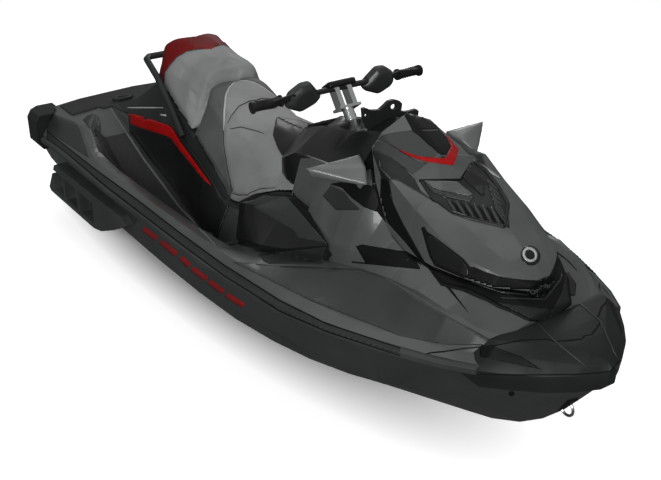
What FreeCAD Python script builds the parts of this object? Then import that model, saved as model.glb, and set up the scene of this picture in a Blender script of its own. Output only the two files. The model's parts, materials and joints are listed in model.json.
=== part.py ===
"""Personal watercraft, a three-seat performance runabout with a jet pump.

Every piece is modelled in craft coordinates: X runs from the transom to the bow, Y to port and Z up
from the keel. A common placement then moves the origin to the waterplane under the rider.
"""
import FreeCAD, Part
import math
import os

import Sketcher
from FreeCAD import Rotation, Vector

DOC = FreeCAD.newDocument("watercraft")
SHEET = DOC.addObject("Spreadsheet::Sheet", "dims")

# Driving sizes in millimetres, angles in degrees
SIZES = {
    "hull_length": 3300, "half_beam": 600, "body_height": 1000, "draft": 270,
    "waterline_station": 1600, "bond_stern": 410, "bond_bow": 560, "overrun": 40,
    "seam_gap": 3, "soft_gap": 0.3, "moving_gap": 5, "running_gap": 0.05,
    "rail_height": 44, "rail_depth": 25, "bumper_depth": 18, "bumper_skirt": 62,
    "mat_thickness": 8, "panel_thickness": 7, "rear_mat_thickness": 8,
    "strake_height": 16, "strake_width": 46,
    "bay_length": 480, "bay_width": 340, "bay_height": 332,
    "engine_bay_start": 1230, "engine_bay_length": 670, "engine_bay_width": 420,
    "engine_bay_floor": 110, "engine_bay_top": 450,
    "engine_start": 1262, "engine_length": 560, "engine_width": 380, "engine_height": 290,
    "bin_start": 2470, "bin_length": 380, "bin_width": 280, "bin_floor": 545, "bin_top": 716, "bin_wall": 4,
    "bin_drop": 30, "foredeck_start": 2440,
    "pump_axis_height": 165, "pump_bore": 160.6, "pump_wall": 15, "pump_cone_length": 60,
    "pump_outlet": 112, "pump_outlet_wall": 5, "pump_flange": 252, "pump_flange_thickness": 12,
    "pump_length": 190, "hub_diameter": 64, "vane_thickness": 6, "vane_count": 6,
    "stator_length": 84,
    "arm_inner": 87, "arm_thickness": 12, "arm_height": 30, "arm_reach": 120,
    "ring_station": 190, "ring_bore": 146, "ring_wall": 10, "ring_length": 34, "ring_pin": 13,
    "nozzle_length": 86, "nozzle_lead": 8, "nozzle_inlet": 118, "nozzle_outlet": 108,
    "nozzle_wall": 7, "nozzle_pin": 14, "nozzle_lever": 14,
    "bucket_station": 232, "bucket_radius": 152, "bucket_wall": 7, "bucket_gap": 6,
    "bucket_pin": 15, "bucket_start_angle": 30, "bucket_sweep": 52,
    "impeller_diameter": 160, "impeller_length": 74, "impeller_station": 418, "blade_count": 4,
    "blade_thickness": 6, "blade_root_pitch": 34, "blade_tip_pitch": 62,
    "shaft_diameter": 26, "shaft_tunnel": 44, "stub_length": 52,
    "intake_width": 196, "intake_depth": 150, "intake_reach": 560,
    "grate_bar": 10, "grate_depth": 22, "grate_lift": 3, "grate_pitch": 36, "grate_bar_count": 5,
    "plate_thickness": 14, "plate_height": 6, "plate_length": 400, "groove_place": 60, "groove_width": 14,
    "sponson_base": 540, "sponson_depth": 64, "sponson_rib": 12, "sponson_skin": 12,
    "steer_station": 1950, "steer_height": 1000, "steer_rake": 36,
    "column_diameter": 44, "column_drop": 70, "column_rise": -14, "riser_spread": 56,
    "riser_width": 20, "riser_depth": 44, "riser_height": 74, "bar_diameter": 22.2,
    "bar_half_span": 379, "bar_sweep": 12, "bar_lead": 8, "bar_bend": 256,
    "grip_diameter": 34, "grip_length": 122, "grip_flange": 44, "grip_flange_width": 7,
    "pad_length": 124, "pad_width": 62, "pad_height": 26,
    "pod_length": 156, "pod_height": 124, "pod_depth": 58, "pod_lean": 18, "pod_lift": -4,
    "lever_diameter": 10, "lever_length": 88, "lever_offset": 24,
    "lid_length": 120, "lid_width": 150, "lid_thickness": 9, "lid_pin": 10, "lid_pocket": 60,
    "lid_station": 1800, "lid_height": 893, "lid_slope": 24,
    "gauge_station": 2192, "gauge_width": 190, "gauge_height": 66, "gauge_depth": 24,
    "gauge_level": 1052, "gauge_tilt": 30,
    "hood_skin": 8, "hood_pin": 12, "hinge_station": 2996, "hinge_height": 700,
    "hinge_spacing": 52, "hinge_leaf": 14,
    "louvre_thickness": 7, "louvre_count": 6, "grille_depth": 26,
    "mirror_stem": 30,
    "handle_diameter": 30, "handle_rear_half": 176,
    "hook_rod": 12, "hook_loop": 62, "hook_plate": 60, "hook_plate_thickness": 6,
    "eye_rod": 10, "eye_loop": 50, "eye_station": 3164, "eye_height": 338,
    "cleat_length": 104, "cleat_width": 58, "cleat_height": 11, "cleat_slot": 14, "ring_facets": 8,
}
for row, (alias, value) in enumerate(SIZES.items(), start=1):
    SHEET.set(f"A{row}", alias.replace("_", " "))
    SHEET.set(f"B{row}", str(value))
    SHEET.setAlias(f"B{row}", alias)
DOC.recompute()


class Dims:
    """Reads the driving sizes back from the sheet by name."""

    def __getattr__(self, alias):
        return float(SHEET.get(alias))


D = Dims()
NODES = []
SIDES = {"port": 1, "starboard": -1}

# Outline shares: along hull_length, across half_beam, up body_height
HULL_SHARES = [
    (0.00, 0.000, 0.785, 0.230, 0.940), (0.05, 0.000, 0.810, 0.233, 0.935),
    (0.10, 0.000, 0.835, 0.237, 0.930), (0.20, 0.000, 0.858, 0.240, 0.955),
    (0.30, 0.000, 0.878, 0.243, 0.975), (0.42, 0.000, 0.882, 0.244, 0.985),
    (0.52, 0.000, 0.876, 0.248, 1.000), (0.60, 0.000, 0.858, 0.254, 1.000),
    (0.67, 0.002, 0.822, 0.268, 0.980), (0.73, 0.008, 0.775, 0.286, 0.935),
    (0.78, 0.026, 0.718, 0.308, 0.870), (0.82, 0.055, 0.655, 0.330, 0.795),
    (0.86, 0.100, 0.575, 0.356, 0.705), (0.90, 0.165, 0.470, 0.387, 0.602),
    (0.93, 0.240, 0.360, 0.415, 0.495), (0.955, 0.325, 0.250, 0.443, 0.375),
    (0.975, 0.410, 0.150, 0.477, 0.262), (0.99, 0.475, 0.065, 0.515, 0.142),
    (1.00, 0.515, 0.012, 0.545, 0.030),
]
GRATE_SPAN_SHARES = (0.20, 0.97)
CHINE_FLAT_SHARE = 0.035
CHINE_STEP_SHARE = 0.012
SIDE_KNUCKLE_SHARES = (0.55, 0.62)
STRAKE_PLACE_SHARES = (0.34, 0.66)
STRAKE_SPAN_SHARES = (0.16, 0.76)

# Deck stations: ridge y and z, crease y and z, centre z
DECK_SHARES = [
    (0.000, 0.820, 0.510, 0.50, 0.530, 0.540),
    (0.050, 0.815, 0.522, 0.50, 0.540, 0.548),
    (0.100, 0.800, 0.538, 0.50, 0.550, 0.558),
    (0.140, 0.785, 0.556, 0.50, 0.556, 0.560),
    (0.180, 0.850, 0.520, 0.50, 0.510, 0.510),
    (0.220, 0.895, 0.492, 0.50, 0.450, 0.440),
    (0.300, 0.905, 0.500, 0.50, 0.440, 0.440),
    (0.420, 0.915, 0.516, 0.50, 0.440, 0.440),
    (0.520, 0.925, 0.533, 0.50, 0.440, 0.440),
    (0.580, 0.930, 0.545, 0.52, 0.460, 0.460),
    (0.630, 0.925, 0.551, 0.54, 0.545, 0.500),
    (0.670, 0.905, 0.550, 0.55, 0.568, 0.570),
    (0.710, 0.875, 0.552, 0.54, 0.600, 0.600),
    (0.755, 0.830, 0.556, 0.535, 0.640, 0.640),
    (0.800, 0.770, 0.562, 0.545, 0.672, 0.672),
    (0.840, 0.680, 0.568, 0.545, 0.682, 0.682),
    (0.880, 0.590, 0.573, 0.500, 0.662, 0.662),
    (0.910, 0.505, 0.578, 0.440, 0.630, 0.630),
    (0.930, 0.430, 0.582, 0.390, 0.609, 0.609),
    (0.955, 0.310, 0.585, 0.240, 0.609, 0.612),
    (0.975, 0.205, 0.582, 0.120, 0.606, 0.609),
    (0.990, 0.105, 0.577, 0.060, 0.592, 0.594),
    (1.000, 0.022, 0.570, 0.010, 0.574, 0.575),
]
LIP_SHARE = 0.014
RAIL_SPAN_SHARES = (0.05, 0.93)
RAIL_DROP_SHARE = 0.26

# Footwell stations: inner foot y, inner top y and z, floor z, outer foot y, outer top y and z
FOOTWELL_SHARES = [
    (0.080, 0.390, 0.375, 0.575, 0.549, 0.560, 0.640, 0.600),
    (0.140, 0.385, 0.385, 0.575, 0.470, 0.620, 0.745, 0.560),
    (0.200, 0.385, 0.385, 0.605, 0.390, 0.650, 0.810, 0.500),
    (0.270, 0.385, 0.385, 0.650, 0.312, 0.660, 0.825, 0.498),
    (0.315, 0.420, 0.385, 0.630, 0.302, 0.665, 0.830, 0.504),
    (0.377, 0.495, 0.390, 0.545, 0.298, 0.675, 0.835, 0.512),
    (0.440, 0.545, 0.410, 0.456, 0.296, 0.680, 0.840, 0.520),
    (0.520, 0.550, 0.420, 0.510, 0.425, 0.720, 0.850, 0.535),
    (0.580, 0.520, 0.425, 0.620, 0.500, 0.760, 0.850, 0.546),
    (0.640, 0.500, 0.430, 0.650, 0.560, 0.780, 0.850, 0.570),
]
MAT_WRAP_SHARE = 0.62
PANEL_FOOT_SHARE = 0.09

# Pedestal stations: side y and z, top y and z
PEDESTAL_SHARES = [
    (0.075, 0.360, 0.535, 0.330, 0.552), (0.140, 0.385, 0.575, 0.300, 0.640),
    (0.195, 0.385, 0.605, 0.270, 0.758), (0.232, 0.385, 0.625, 0.300, 0.770),
    (0.280, 0.385, 0.655, 0.345, 0.730), (0.315, 0.385, 0.630, 0.365, 0.690),
    (0.377, 0.390, 0.545, 0.380, 0.585), (0.436, 0.410, 0.456, 0.400, 0.478),
    (0.455, 0.412, 0.462, 0.402, 0.486), (0.497, 0.418, 0.500, 0.408, 0.572),
    (0.550, 0.420, 0.580, 0.408, 0.656), (0.590, 0.425, 0.630, 0.395, 0.698),
]
PEDESTAL_FOOT_SHARE = 0.405

# Body panels in front of the seat: foot y and z, widest y and z, top y and z
COWL_SHARES = [
    (0.590, 0.400, 0.500, 0.415, 0.700, 0.335, 0.852), (0.615, 0.430, 0.500, 0.445, 0.705, 0.345, 0.864),
    (0.660, 0.490, 0.550, 0.500, 0.700, 0.370, 0.884), (0.700, 0.532, 0.585, 0.532, 0.662, 0.372, 0.900),
    (0.727, 0.534, 0.612, 0.520, 0.676, 0.345, 0.894), (0.745, 0.534, 0.625, 0.505, 0.688, 0.345, 0.790),
    (0.765, 0.536, 0.642, 0.490, 0.690, 0.365, 0.745), (0.800, 0.542, 0.665, 0.470, 0.700, 0.400, 0.722),
]
NOSE_SHARES = [
    (0.800, 0.542, 0.665, 0.470, 0.700, 0.400, 0.720), (0.840, 0.542, 0.675, 0.430, 0.700, 0.365, 0.720),
    (0.875, 0.500, 0.660, 0.350, 0.690, 0.270, 0.712), (0.900, 0.455, 0.635, 0.265, 0.672, 0.180, 0.700),
    (0.925, 0.380, 0.605, 0.170, 0.632, 0.090, 0.652),
]

FOOT_DROP_SHARE = 0.06

# Hood stations: centre z, upper edge y and z, side y and z, lower y and z
HOOD_SHARES = [
    (0.700, 1.078, 0.180, 1.030, 0.225, 1.000, 0.250, 0.985),
    (0.727, 1.035, 0.190, 0.994, 0.300, 0.945, 0.335, 0.905),
    (0.757, 0.988, 0.200, 0.950, 0.345, 0.938, 0.368, 0.770),
    (0.790, 0.932, 0.205, 0.905, 0.335, 0.880, 0.385, 0.735),
    (0.830, 0.888, 0.190, 0.868, 0.320, 0.825, 0.375, 0.733),
    (0.860, 0.845, 0.175, 0.825, 0.290, 0.785, 0.330, 0.730),
    (0.890, 0.795, 0.145, 0.782, 0.215, 0.762, 0.245, 0.722),
    (0.912, 0.740, 0.050, 0.737, 0.080, 0.730, 0.090, 0.712),
]
GRILLE_SHARES = ((0.760, 0.185), (0.800, 0.155), (0.855, 0.020))

# Seat stations: top z, crown y, shoulder y and drop, waist y and z, hem y and z
DRIVER_SEAT_SHARES = [
    (0.333, 0.892, 0.120, 0.215, 0.020, 0.265, 0.800, 0.372, 0.664),
    (0.350, 0.880, 0.120, 0.230, 0.024, 0.270, 0.780, 0.375, 0.640),
    (0.385, 0.838, 0.120, 0.230, 0.026, 0.285, 0.720, 0.385, 0.575),
    (0.436, 0.812, 0.110, 0.215, 0.030, 0.300, 0.680, 0.405, 0.479),
    (0.460, 0.810, 0.110, 0.210, 0.030, 0.305, 0.685, 0.408, 0.489),
    (0.500, 0.814, 0.105, 0.205, 0.030, 0.305, 0.700, 0.412, 0.575),
    (0.550, 0.828, 0.100, 0.200, 0.030, 0.300, 0.735, 0.410, 0.657),
    (0.583, 0.836, 0.095, 0.195, 0.034, 0.290, 0.760, 0.398, 0.694),
]
PASSENGER_SEAT_SHARES = [
    (0.197, 0.850, 0.120, 0.200, 0.020, 0.255, 0.800, 0.262, 0.762),
    (0.208, 0.965, 0.130, 0.220, 0.018, 0.270, 0.840, 0.285, 0.766),
    (0.220, 0.990, 0.140, 0.232, 0.018, 0.278, 0.860, 0.295, 0.770),
    (0.245, 0.972, 0.145, 0.240, 0.020, 0.285, 0.860, 0.315, 0.764),
    (0.280, 0.952, 0.145, 0.235, 0.022, 0.290, 0.840, 0.345, 0.732),
    (0.310, 0.946, 0.140, 0.228, 0.022, 0.290, 0.820, 0.362, 0.698),
    (0.332, 0.936, 0.130, 0.215, 0.024, 0.280, 0.800, 0.370, 0.668),
]

# Console stations: centre z, shoulder y and z, foot y and z
CONSOLE_SHARES = [
    (0.537, 0.880, 0.120, 0.872, 0.300, 0.770), (0.555, 0.915, 0.140, 0.895, 0.330, 0.800),
    (0.580, 0.948, 0.150, 0.925, 0.345, 0.845), (0.600, 0.958, 0.155, 0.940, 0.345, 0.852),
    (0.640, 0.990, 0.160, 0.968, 0.350, 0.868), (0.680, 1.042, 0.165, 1.012, 0.350, 0.880),
    (0.696, 1.062, 0.170, 1.024, 0.350, 0.886),
]
CONSOLE_FLOOR_SHARE = 0.70

# Knee box stations: inner y and z, crest y and z, outer y and z
KNEE_BOX_SHARES = [
    (0.513, 0.428, 0.580, 0.550, 0.588, 0.590, 0.448),
    (0.533, 0.430, 0.625, 0.560, 0.612, 0.630, 0.475),
    (0.605, 0.445, 0.705, 0.540, 0.660, 0.690, 0.552),
    (0.660, 0.505, 0.690, 0.530, 0.662, 0.610, 0.590),
    (0.693, 0.535, 0.648, 0.545, 0.635, 0.560, 0.612),
]
KNEE_FLOOR_SHARE = 0.44
KNEE_ROOT_SHARE = 0.05

# Mirror pod corners: outboard rear tip, inboard rear top, front bottom, inboard rear bottom, base
MIRROR_SHARES = {
    "tip": (0.689, 0.663, 0.950), "crown": (0.697, 0.325, 0.963), "brow": (0.716, 0.360, 0.948),
    "front": (0.7315, 0.407, 0.903), "heel": (0.692, 0.350, 0.892), "toe": (0.687, 0.632, 0.915),
}
HANDLE_SHARES = ((0.318, 0.400, 0.640), (0.285, 0.390, 0.735), (0.235, 0.355, 0.835), (0.198, 0.338, 0.887))
SPONSON_SHARES = ((0.078, 0.205), (0.083, 0.186), (0.242, 0.190), (0.268, 0.208), (0.312, 0.272),
                  (0.357, 0.350), (0.342, 0.378), (0.110, 0.356))
SPONSON_BAY_SHARES = ((0.098, 0.137), (0.145, 0.189), (0.197, 0.246))
SPONSON_BAY_HEIGHT_SHARES = (0.214, 0.322)
# Stern guard: corners along and across, then heights with how far each level stands out
STERN_BUMPER_SHARES = ((-0.006, 0.76), (-0.006, 0.90), (0.006, 0.985), (0.042, 0.985), (0.042, 0.86), (0.010, 0.76))
STERN_BUMPER_LEVEL_SHARES = ((0.352, 0.955), (0.385, 1.0), (0.500, 1.0), (0.532, 0.965))
# Control pod outline from its outer end inwards, upwards, and its depth with the size there
POD_SHARES = ((0.00, 0.42), (0.08, 0.72), (0.38, 0.98), (0.62, 1.00), (0.90, 0.60), (1.00, 0.44),
              (0.88, 0.24), (0.44, 0.00), (0.06, 0.24))
POD_DEPTH_SHARES = ((-0.50, 0.66), (-0.22, 1.00), (0.18, 1.00), (0.50, 0.70))
CLEAT_SHARES = (0.0625, 0.247, 0.548)
BUMPER_START_SHARE = 0.25
REAR_MAT_SHARES = ((0.010, 0.70), (0.070, 0.72), (0.070, 0.48), (0.120, 0.42), (0.120, 0.0))


def spot(x_share, y_share, z_share, side=1):
    """Point of the craft from its three shares."""
    return Vector(x_share * D.hull_length, side * y_share * D.half_beam, z_share * D.body_height)


def bond_level(station):
    """Height of the bond line, where deck and hull meet, at a station in millimetres."""
    return D.bond_stern + (D.bond_bow - D.bond_stern) * station / D.hull_length


def ring(points):
    """Closed outline through the points."""
    return Part.makePolygon(list(points) + [points[0]])


def whole(points):
    """Closed outline of a half section and its mirror image."""
    mirror = [Vector(p.x, -p.y, p.z) for p in reversed(points) if p.y > 0]
    return ring(list(points) + mirror)


def loft(rings, ruled=False):
    """Solid through a row of outlines."""
    return Part.makeLoft(rings, True, ruled)


def prism(points, travel):
    """Solid swept from a flat outline."""
    return Part.Face(ring(points)).extrude(travel)


def block(start, end):
    """Box between two corners."""
    low = Vector(*[min(a, b) for a, b in zip(start, end)])
    span = Vector(*[abs(a - b) for a, b in zip(start, end)])
    return Part.makeBox(span.x, span.y, span.z, low)


def rod(points, diameter):
    """Round bar along straight runs with ball joints at the corners."""
    radius = diameter / 2
    pieces = []
    for a, b in zip(points, points[1:]):
        pieces.append(Part.makeCylinder(radius, (b - a).Length, a, b - a))
    pieces += [Part.makeSphere(radius, p) for p in points[1:-1]]
    return pieces[0].multiFuse(pieces[1:]) if len(pieces) > 1 else pieces[0]


def bent_bar(points, diameter):
    """Round bar through the points, mitred where it bends."""
    section = Part.Circle(Vector(), Vector(0, 1, 0), diameter / 2).toShape()
    rings = []
    for point in points:
        along = Vector()
        for a, b in zip(points, points[1:]):
            if point in (a, b):
                along += (b - a) * (1 / (b - a).Length)
        placed = section.copy()
        placed.Placement = FreeCAD.Placement(point, Rotation(Vector(0, 1, 0), along))
        rings.append(Part.Wire(placed))
    return loft(rings, True)


def cylinder_y(centre, diameter, length):
    """Round bar along Y, centred on a point."""
    return Part.makeCylinder(diameter / 2, length, centre - Vector(0, length / 2, 0), Vector(0, 1, 0))


def faceted_ring(centre, loop, thickness, axis):
    """Closed ring of round stock, its section drawn with flat facets."""
    turn = Rotation(Vector(0, 0, 1), axis)
    corners = []
    for index in range(int(D.ring_facets)):
        angle = 2 * math.pi * (index + 0.5) / D.ring_facets
        reach = loop / 2 + thickness / 2 * math.cos(angle)
        corners.append(centre + turn.multVec(Vector(reach, 0, thickness / 2 * math.sin(angle))))
    return Part.Face(ring(corners)).revolve(centre, axis, 360)


def seat_placement(item):
    """Moves a piece from craft coordinates to the row's origin."""
    item.setExpression("Placement.Base.x", "-dims.waterline_station")
    item.setExpression("Placement.Base.z", "-dims.draft")


def keep(label, shape):
    """Adds a piece whose form is a free surface."""
    item = DOC.addObject("Part::Feature", label)
    item.Shape = shape
    item.Label = label
    seat_placement(item)
    NODES.append(item)
    return shape


def piece_shape(label):
    """Form of a finished piece, back in craft coordinates."""
    shape = next(item for item in NODES if item.Label == label).Shape.copy()
    shape.Placement = FreeCAD.Placement()
    return shape


def new_body(label):
    """Adds a piece that is built from sketches."""
    body = DOC.addObject("PartDesign::Body", label)
    body.Label = label
    seat_placement(body)
    NODES.append(body)
    return body


def plane_of(body, role):
    """One of the body's origin planes or axes."""
    return next(f for f in body.Origin.OriginFeatures if f.Role == role)


def new_sketch(body, role, name, offset="0"):
    """Empty sketch on an origin plane, moved along its normal."""
    sketch = body.newObject("Sketcher::SketchObject", name)
    sketch.AttachmentSupport = (plane_of(body, role), [""])
    sketch.MapMode = "FlatFace"
    sketch.setExpression("AttachmentOffset.Base.z", offset)
    return sketch


def pin_point(sketch, edge, corner, across, upward):
    """Ties a sketch point to two expressions, measured from the sketch origin."""
    for kind, axis, text in (("DistanceX", -2, across), ("DistanceY", -1, upward)):
        value = float(sketch.evalExpression(text))
        if abs(value) < 1e-9:
            sketch.addConstraint(Sketcher.Constraint("PointOnObject", edge, corner, axis))
            continue
        index = sketch.addConstraint(Sketcher.Constraint(kind, -1, 1, edge, corner, value))
        sketch.setExpression(f"Constraints[{index}]", text)


def draw_outline(sketch, corners):
    """Closed outline in a sketch, each corner given by two expressions."""
    values = [[float(sketch.evalExpression(t)) for t in pair] for pair in corners]
    first = sketch.GeometryCount
    for here, there in zip(values, values[1:] + values[:1]):
        sketch.addGeometry(Part.LineSegment(Vector(*here, 0), Vector(*there, 0)))
    count = len(corners)
    for index in range(count):
        following = first + (index + 1) % count
        sketch.addConstraint(Sketcher.Constraint("Coincident", first + index, 2, following, 1))
    for index, pair in enumerate(corners):
        pin_point(sketch, first + index, 1, *pair)


def draw_circle(sketch, across, upward, radius):
    """Circle in a sketch, its centre and radius given by expressions."""
    centre = Vector(float(sketch.evalExpression(across)), float(sketch.evalExpression(upward)), 0)
    size = float(sketch.evalExpression(radius))
    edge = sketch.addGeometry(Part.Circle(centre, Vector(0, 0, 1), size))
    pin_point(sketch, edge, 3, across, upward)
    index = sketch.addConstraint(Sketcher.Constraint("Radius", edge, size))
    sketch.setExpression(f"Constraints[{index}]", radius)


def pad(body, sketch, length, both_ways=False):
    """Pad of a sketch."""
    item = body.newObject("PartDesign::Pad", sketch.Name + "_pad")
    item.Profile = sketch
    item.Midplane = both_ways
    item.setExpression("Length", length)
    return item


def pocket(body, sketch, length, both_ways=False, backwards=False):
    """Pocket of a sketch."""
    item = body.newObject("PartDesign::Pocket", sketch.Name + "_pocket")
    item.Profile = sketch
    item.Midplane = both_ways
    item.Reversed = backwards
    item.setExpression("Length", length)
    return item


def revolve(body, sketch, axis="H_Axis", cut=False):
    """Full turn of a sketch about one of its own axes."""
    kind = "Groove" if cut else "Revolution"
    item = body.newObject("PartDesign::" + kind, sketch.Name + "_turn")
    item.Profile = sketch
    item.ReferenceAxis = (sketch, [axis])
    item.Angle = 360
    return item


# Hull and deck mouldings

def above_bond(gap=0.0):
    """Everything above the bond plane."""
    x0, x1 = -D.hull_length, 2 * D.hull_length
    top = 2 * D.body_height
    corners = [Vector(x0, -2 * D.half_beam, bond_level(x0) + gap),
               Vector(x1, -2 * D.half_beam, bond_level(x1) + gap),
               Vector(x1, -2 * D.half_beam, top), Vector(x0, -2 * D.half_beam, top)]
    return prism(corners, Vector(0, 4 * D.half_beam, 0))


def within(table, low, high):
    """Stations of a table that reach from one share of the length to another."""
    first = max(row[0] for row in table if row[0] <= low)
    last = min(row[0] for row in table if row[0] >= high)
    return [row for row in table if first <= row[0] <= last]


def rail_at(x_share):
    """Half breadth of the rail at a station, as a share of the half beam."""
    for (x0, *_, rail0), (x1, *_, rail1) in zip(HULL_SHARES, HULL_SHARES[1:]):
        if x0 <= x_share <= x1:
            return rail0 + (rail1 - rail0) * (x_share - x0) / (x1 - x0)
    return HULL_SHARES[-1][-1]


def knuckle_of(x, chine_y, chine_z, rail, side=1):
    """Knuckle of the topsides at a station."""
    flat, step = chine_y * (1 + CHINE_FLAT_SHARE), chine_z + CHINE_STEP_SHARE
    bond = bond_level(x * D.hull_length) / D.body_height
    out, lift = SIDE_KNUCKLE_SHARES
    return spot(x, flat + (rail - flat) * out, step + (bond - step) * lift, side)


def hull_form(low=0.0, high=1.0):
    """Deep-V bottom with a chine flat and flared topsides, up to just over the bond line."""
    rings = []
    for x, keel, chine_y, chine_z, rail in within(HULL_SHARES, low, high):
        flat = chine_y * (1 + CHINE_FLAT_SHARE)
        step = chine_z + CHINE_STEP_SHARE
        bond = bond_level(x * D.hull_length) / D.body_height
        over = bond + D.overrun / D.body_height
        knuckle = knuckle_of(x, chine_y, chine_z, rail)
        rings.append(whole([spot(x, 0, keel), spot(x, chine_y, chine_z), spot(x, flat, step), knuckle,
                            spot(x, rail, bond), spot(x, rail, over), spot(x, 0, over)]))
    return loft(rings, True)


def deck_form(low=0.0, high=1.0):
    """Deck moulding from just under the bond line to its ridge, crease and crown."""
    rings = []
    for x, ridge_y, ridge_z, crease_y, crease_z, centre in within(DECK_SHARES, low, high):
        rail = rail_at(x)
        bond = bond_level(x * D.hull_length) / D.body_height
        under = bond - D.overrun / D.body_height
        lip = min(bond + LIP_SHARE, ridge_z)
        rings.append(whole([spot(x, 0, under), spot(x, rail, under), spot(x, rail, lip),
                            spot(x, ridge_y, ridge_z), spot(x, crease_y, crease_z),
                            spot(x, 0, centre)]))
    return loft(rings, True)


def footwell_form(side, lift=0.0):
    """Air space of one footwell, open at the top."""
    rings = []
    for x, foot, top_y, top_z, floor, outer, outer_y, outer_z in FOOTWELL_SHARES:
        rings.append(ring([spot(x, top_y, 1, side), spot(x, top_y, top_z, side),
                           spot(x, foot, floor, side), spot(x, outer, floor, side),
                           spot(x, outer_y, outer_z, side), spot(x, outer_y, 1, side)]))
    form = loft(rings, True)
    form.translate(Vector(0, 0, lift))
    return form


def mat_form(side):
    """Traction mat on the footwell floor, wrapped part of the way up the gunwale."""
    rise = D.mat_thickness
    rings = []
    for x, foot, top_y, top_z, floor, outer, outer_y, outer_z in FOOTWELL_SHARES[1:-2]:
        inner = spot(x, foot, floor, side)
        bend = spot(x, outer, floor, side)
        wrap = bend + (spot(x, outer_y, outer_z, side) - bend) * MAT_WRAP_SHARE
        rings.append(ring([inner, bend, wrap, wrap + Vector(0, -side * rise, rise),
                           bend + Vector(0, -side * rise / 2, rise), inner + Vector(0, 0, rise)]))
    return loft(rings, True)


def panel_form(side):
    """Gloss panel on the pedestal side, between the mat and the seat."""
    shift = side * D.panel_thickness
    rings = []
    for x, foot, top_y, top_z, floor, *rest in FOOTWELL_SHARES[1:-3]:
        head = spot(x, top_y, top_z, side)
        base = spot(x, foot, floor, side)
        base += (head - base) * PANEL_FOOT_SHARE
        rings.append(ring([base, head, head + Vector(0, shift, 0), base + Vector(0, shift, 0)]))
    return loft(rings, True)


def box_cut(start, length, width, low, high):
    """Centred rectangular hollow."""
    return block((start, -width / 2, low), (start + length, width / 2, high))


def intake_duct():
    """Water duct that climbs from the bottom opening to the pump."""
    axis = D.pump_axis_height
    bore = D.pump_bore / 2
    width, depth = D.intake_width / 2, D.intake_depth / 2
    stages = ((0, axis, bore, bore), (0.30, axis * 0.78, width, bore), (0.62, axis * 0.15, width, depth),
              (1.0, -axis * 0.62, width, depth))
    rings = []
    for reach, height, half_width, half_depth in stages:
        centre = Vector(D.bay_length + reach * D.intake_reach, 0, height)
        oval = Part.Ellipse(centre + Vector(0, half_width + 0.01, 0), centre + Vector(0, 0, half_depth),
                            centre)
        rings.append(Part.Wire(oval.toShape()))
    return loft(rings)


def strakes():
    """Two spray strakes a side, triangular ridges along the bottom."""
    pieces = []
    low, high = STRAKE_SPAN_SHARES
    for side in SIDES.values():
        for place in STRAKE_PLACE_SHARES:
            rings = []
            for x, keel, chine_y, chine_z, rail in HULL_SHARES:
                if not low <= x <= high:
                    continue
                foot = spot(x, chine_y * place, keel + (chine_z - keel) * place, side)
                outer = foot + Vector(0, side * D.strake_width * 0.25, 0)
                rings.append(ring([foot + Vector(0, -side * D.strake_width, 0),
                                   outer + Vector(0, 0, -D.strake_height * 0.2),
                                   outer + Vector(0, 0, D.strake_height)]))
            pieces.append(loft(rings, True))
    return pieces


FOOTWELLS = [footwell_form(side) for side in SIDES.values()]
PUMP_BAY = box_cut(-D.overrun, D.bay_length + D.overrun, D.bay_width, -D.overrun, D.bay_height)
ENGINE_BAY = box_cut(D.engine_bay_start, D.engine_bay_length, D.engine_bay_width,
                     D.engine_bay_floor, D.engine_bay_top)
BIN_POCKET = box_cut(D.bin_start, D.bin_length, D.bin_width, D.bin_floor - D.bin_drop, D.body_height)
FORE_ZONE = box_cut(D.foredeck_start, D.hull_length, 4 * D.half_beam, 0, 2 * D.body_height)
SHAFT_TUNNEL = Part.makeCylinder(D.shaft_tunnel / 2, D.engine_bay_start - D.bay_length + 1,
                                 Vector(D.bay_length, 0, D.pump_axis_height), Vector(1, 0, 0))


def keel_band(start, length, half, low, high):
    """Slab that follows the V of the bottom between two heights over it."""
    x, keel, chine_y, chine_z, rail = HULL_SHARES[3]
    rise = half * chine_z * D.body_height / (chine_y * D.half_beam)
    points = [Vector(start, -half, rise + low), Vector(start, 0, low), Vector(start, half, rise + low),
              Vector(start, half, rise + high), Vector(start, 0, high), Vector(start, -half, rise + high)]
    return prism(points, Vector(length, 0, 0))


def intake_grate():
    """Parallel bars across the intake, joined at their ends, following the V of the bottom."""
    first = -(D.grate_bar_count - 1) / 2 * D.grate_pitch
    start = D.bay_length + D.intake_reach * GRATE_SPAN_SHARES[0]
    end = D.bay_length + D.intake_reach * GRATE_SPAN_SHARES[1]
    half, tall = D.intake_width / 2, D.bay_height
    bars = []
    for index in range(int(D.grate_bar_count)):
        y = first + index * D.grate_pitch
        bars.append(block((start, y - D.grate_bar / 2, 0), (end, y + D.grate_bar / 2, tall)))
    for x in (start, end - D.grate_depth):
        bars.append(block((x, -half, 0), (x + D.grate_depth, half, tall)))
    band = keel_band(start, end - start, half, D.grate_lift, D.grate_lift + D.grate_depth)
    return bars[0].multiFuse(bars[1:]).common(band).removeSplitter()


def sponson_seat(side):
    """Outline of a sponson, which the hull side is cut back for."""
    base = side * D.sponson_base
    return prism([spot(x, 0, z) + Vector(0, base, 0) for x, z in SPONSON_SHARES],
                 Vector(0, side * D.sponson_depth, 0))


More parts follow.
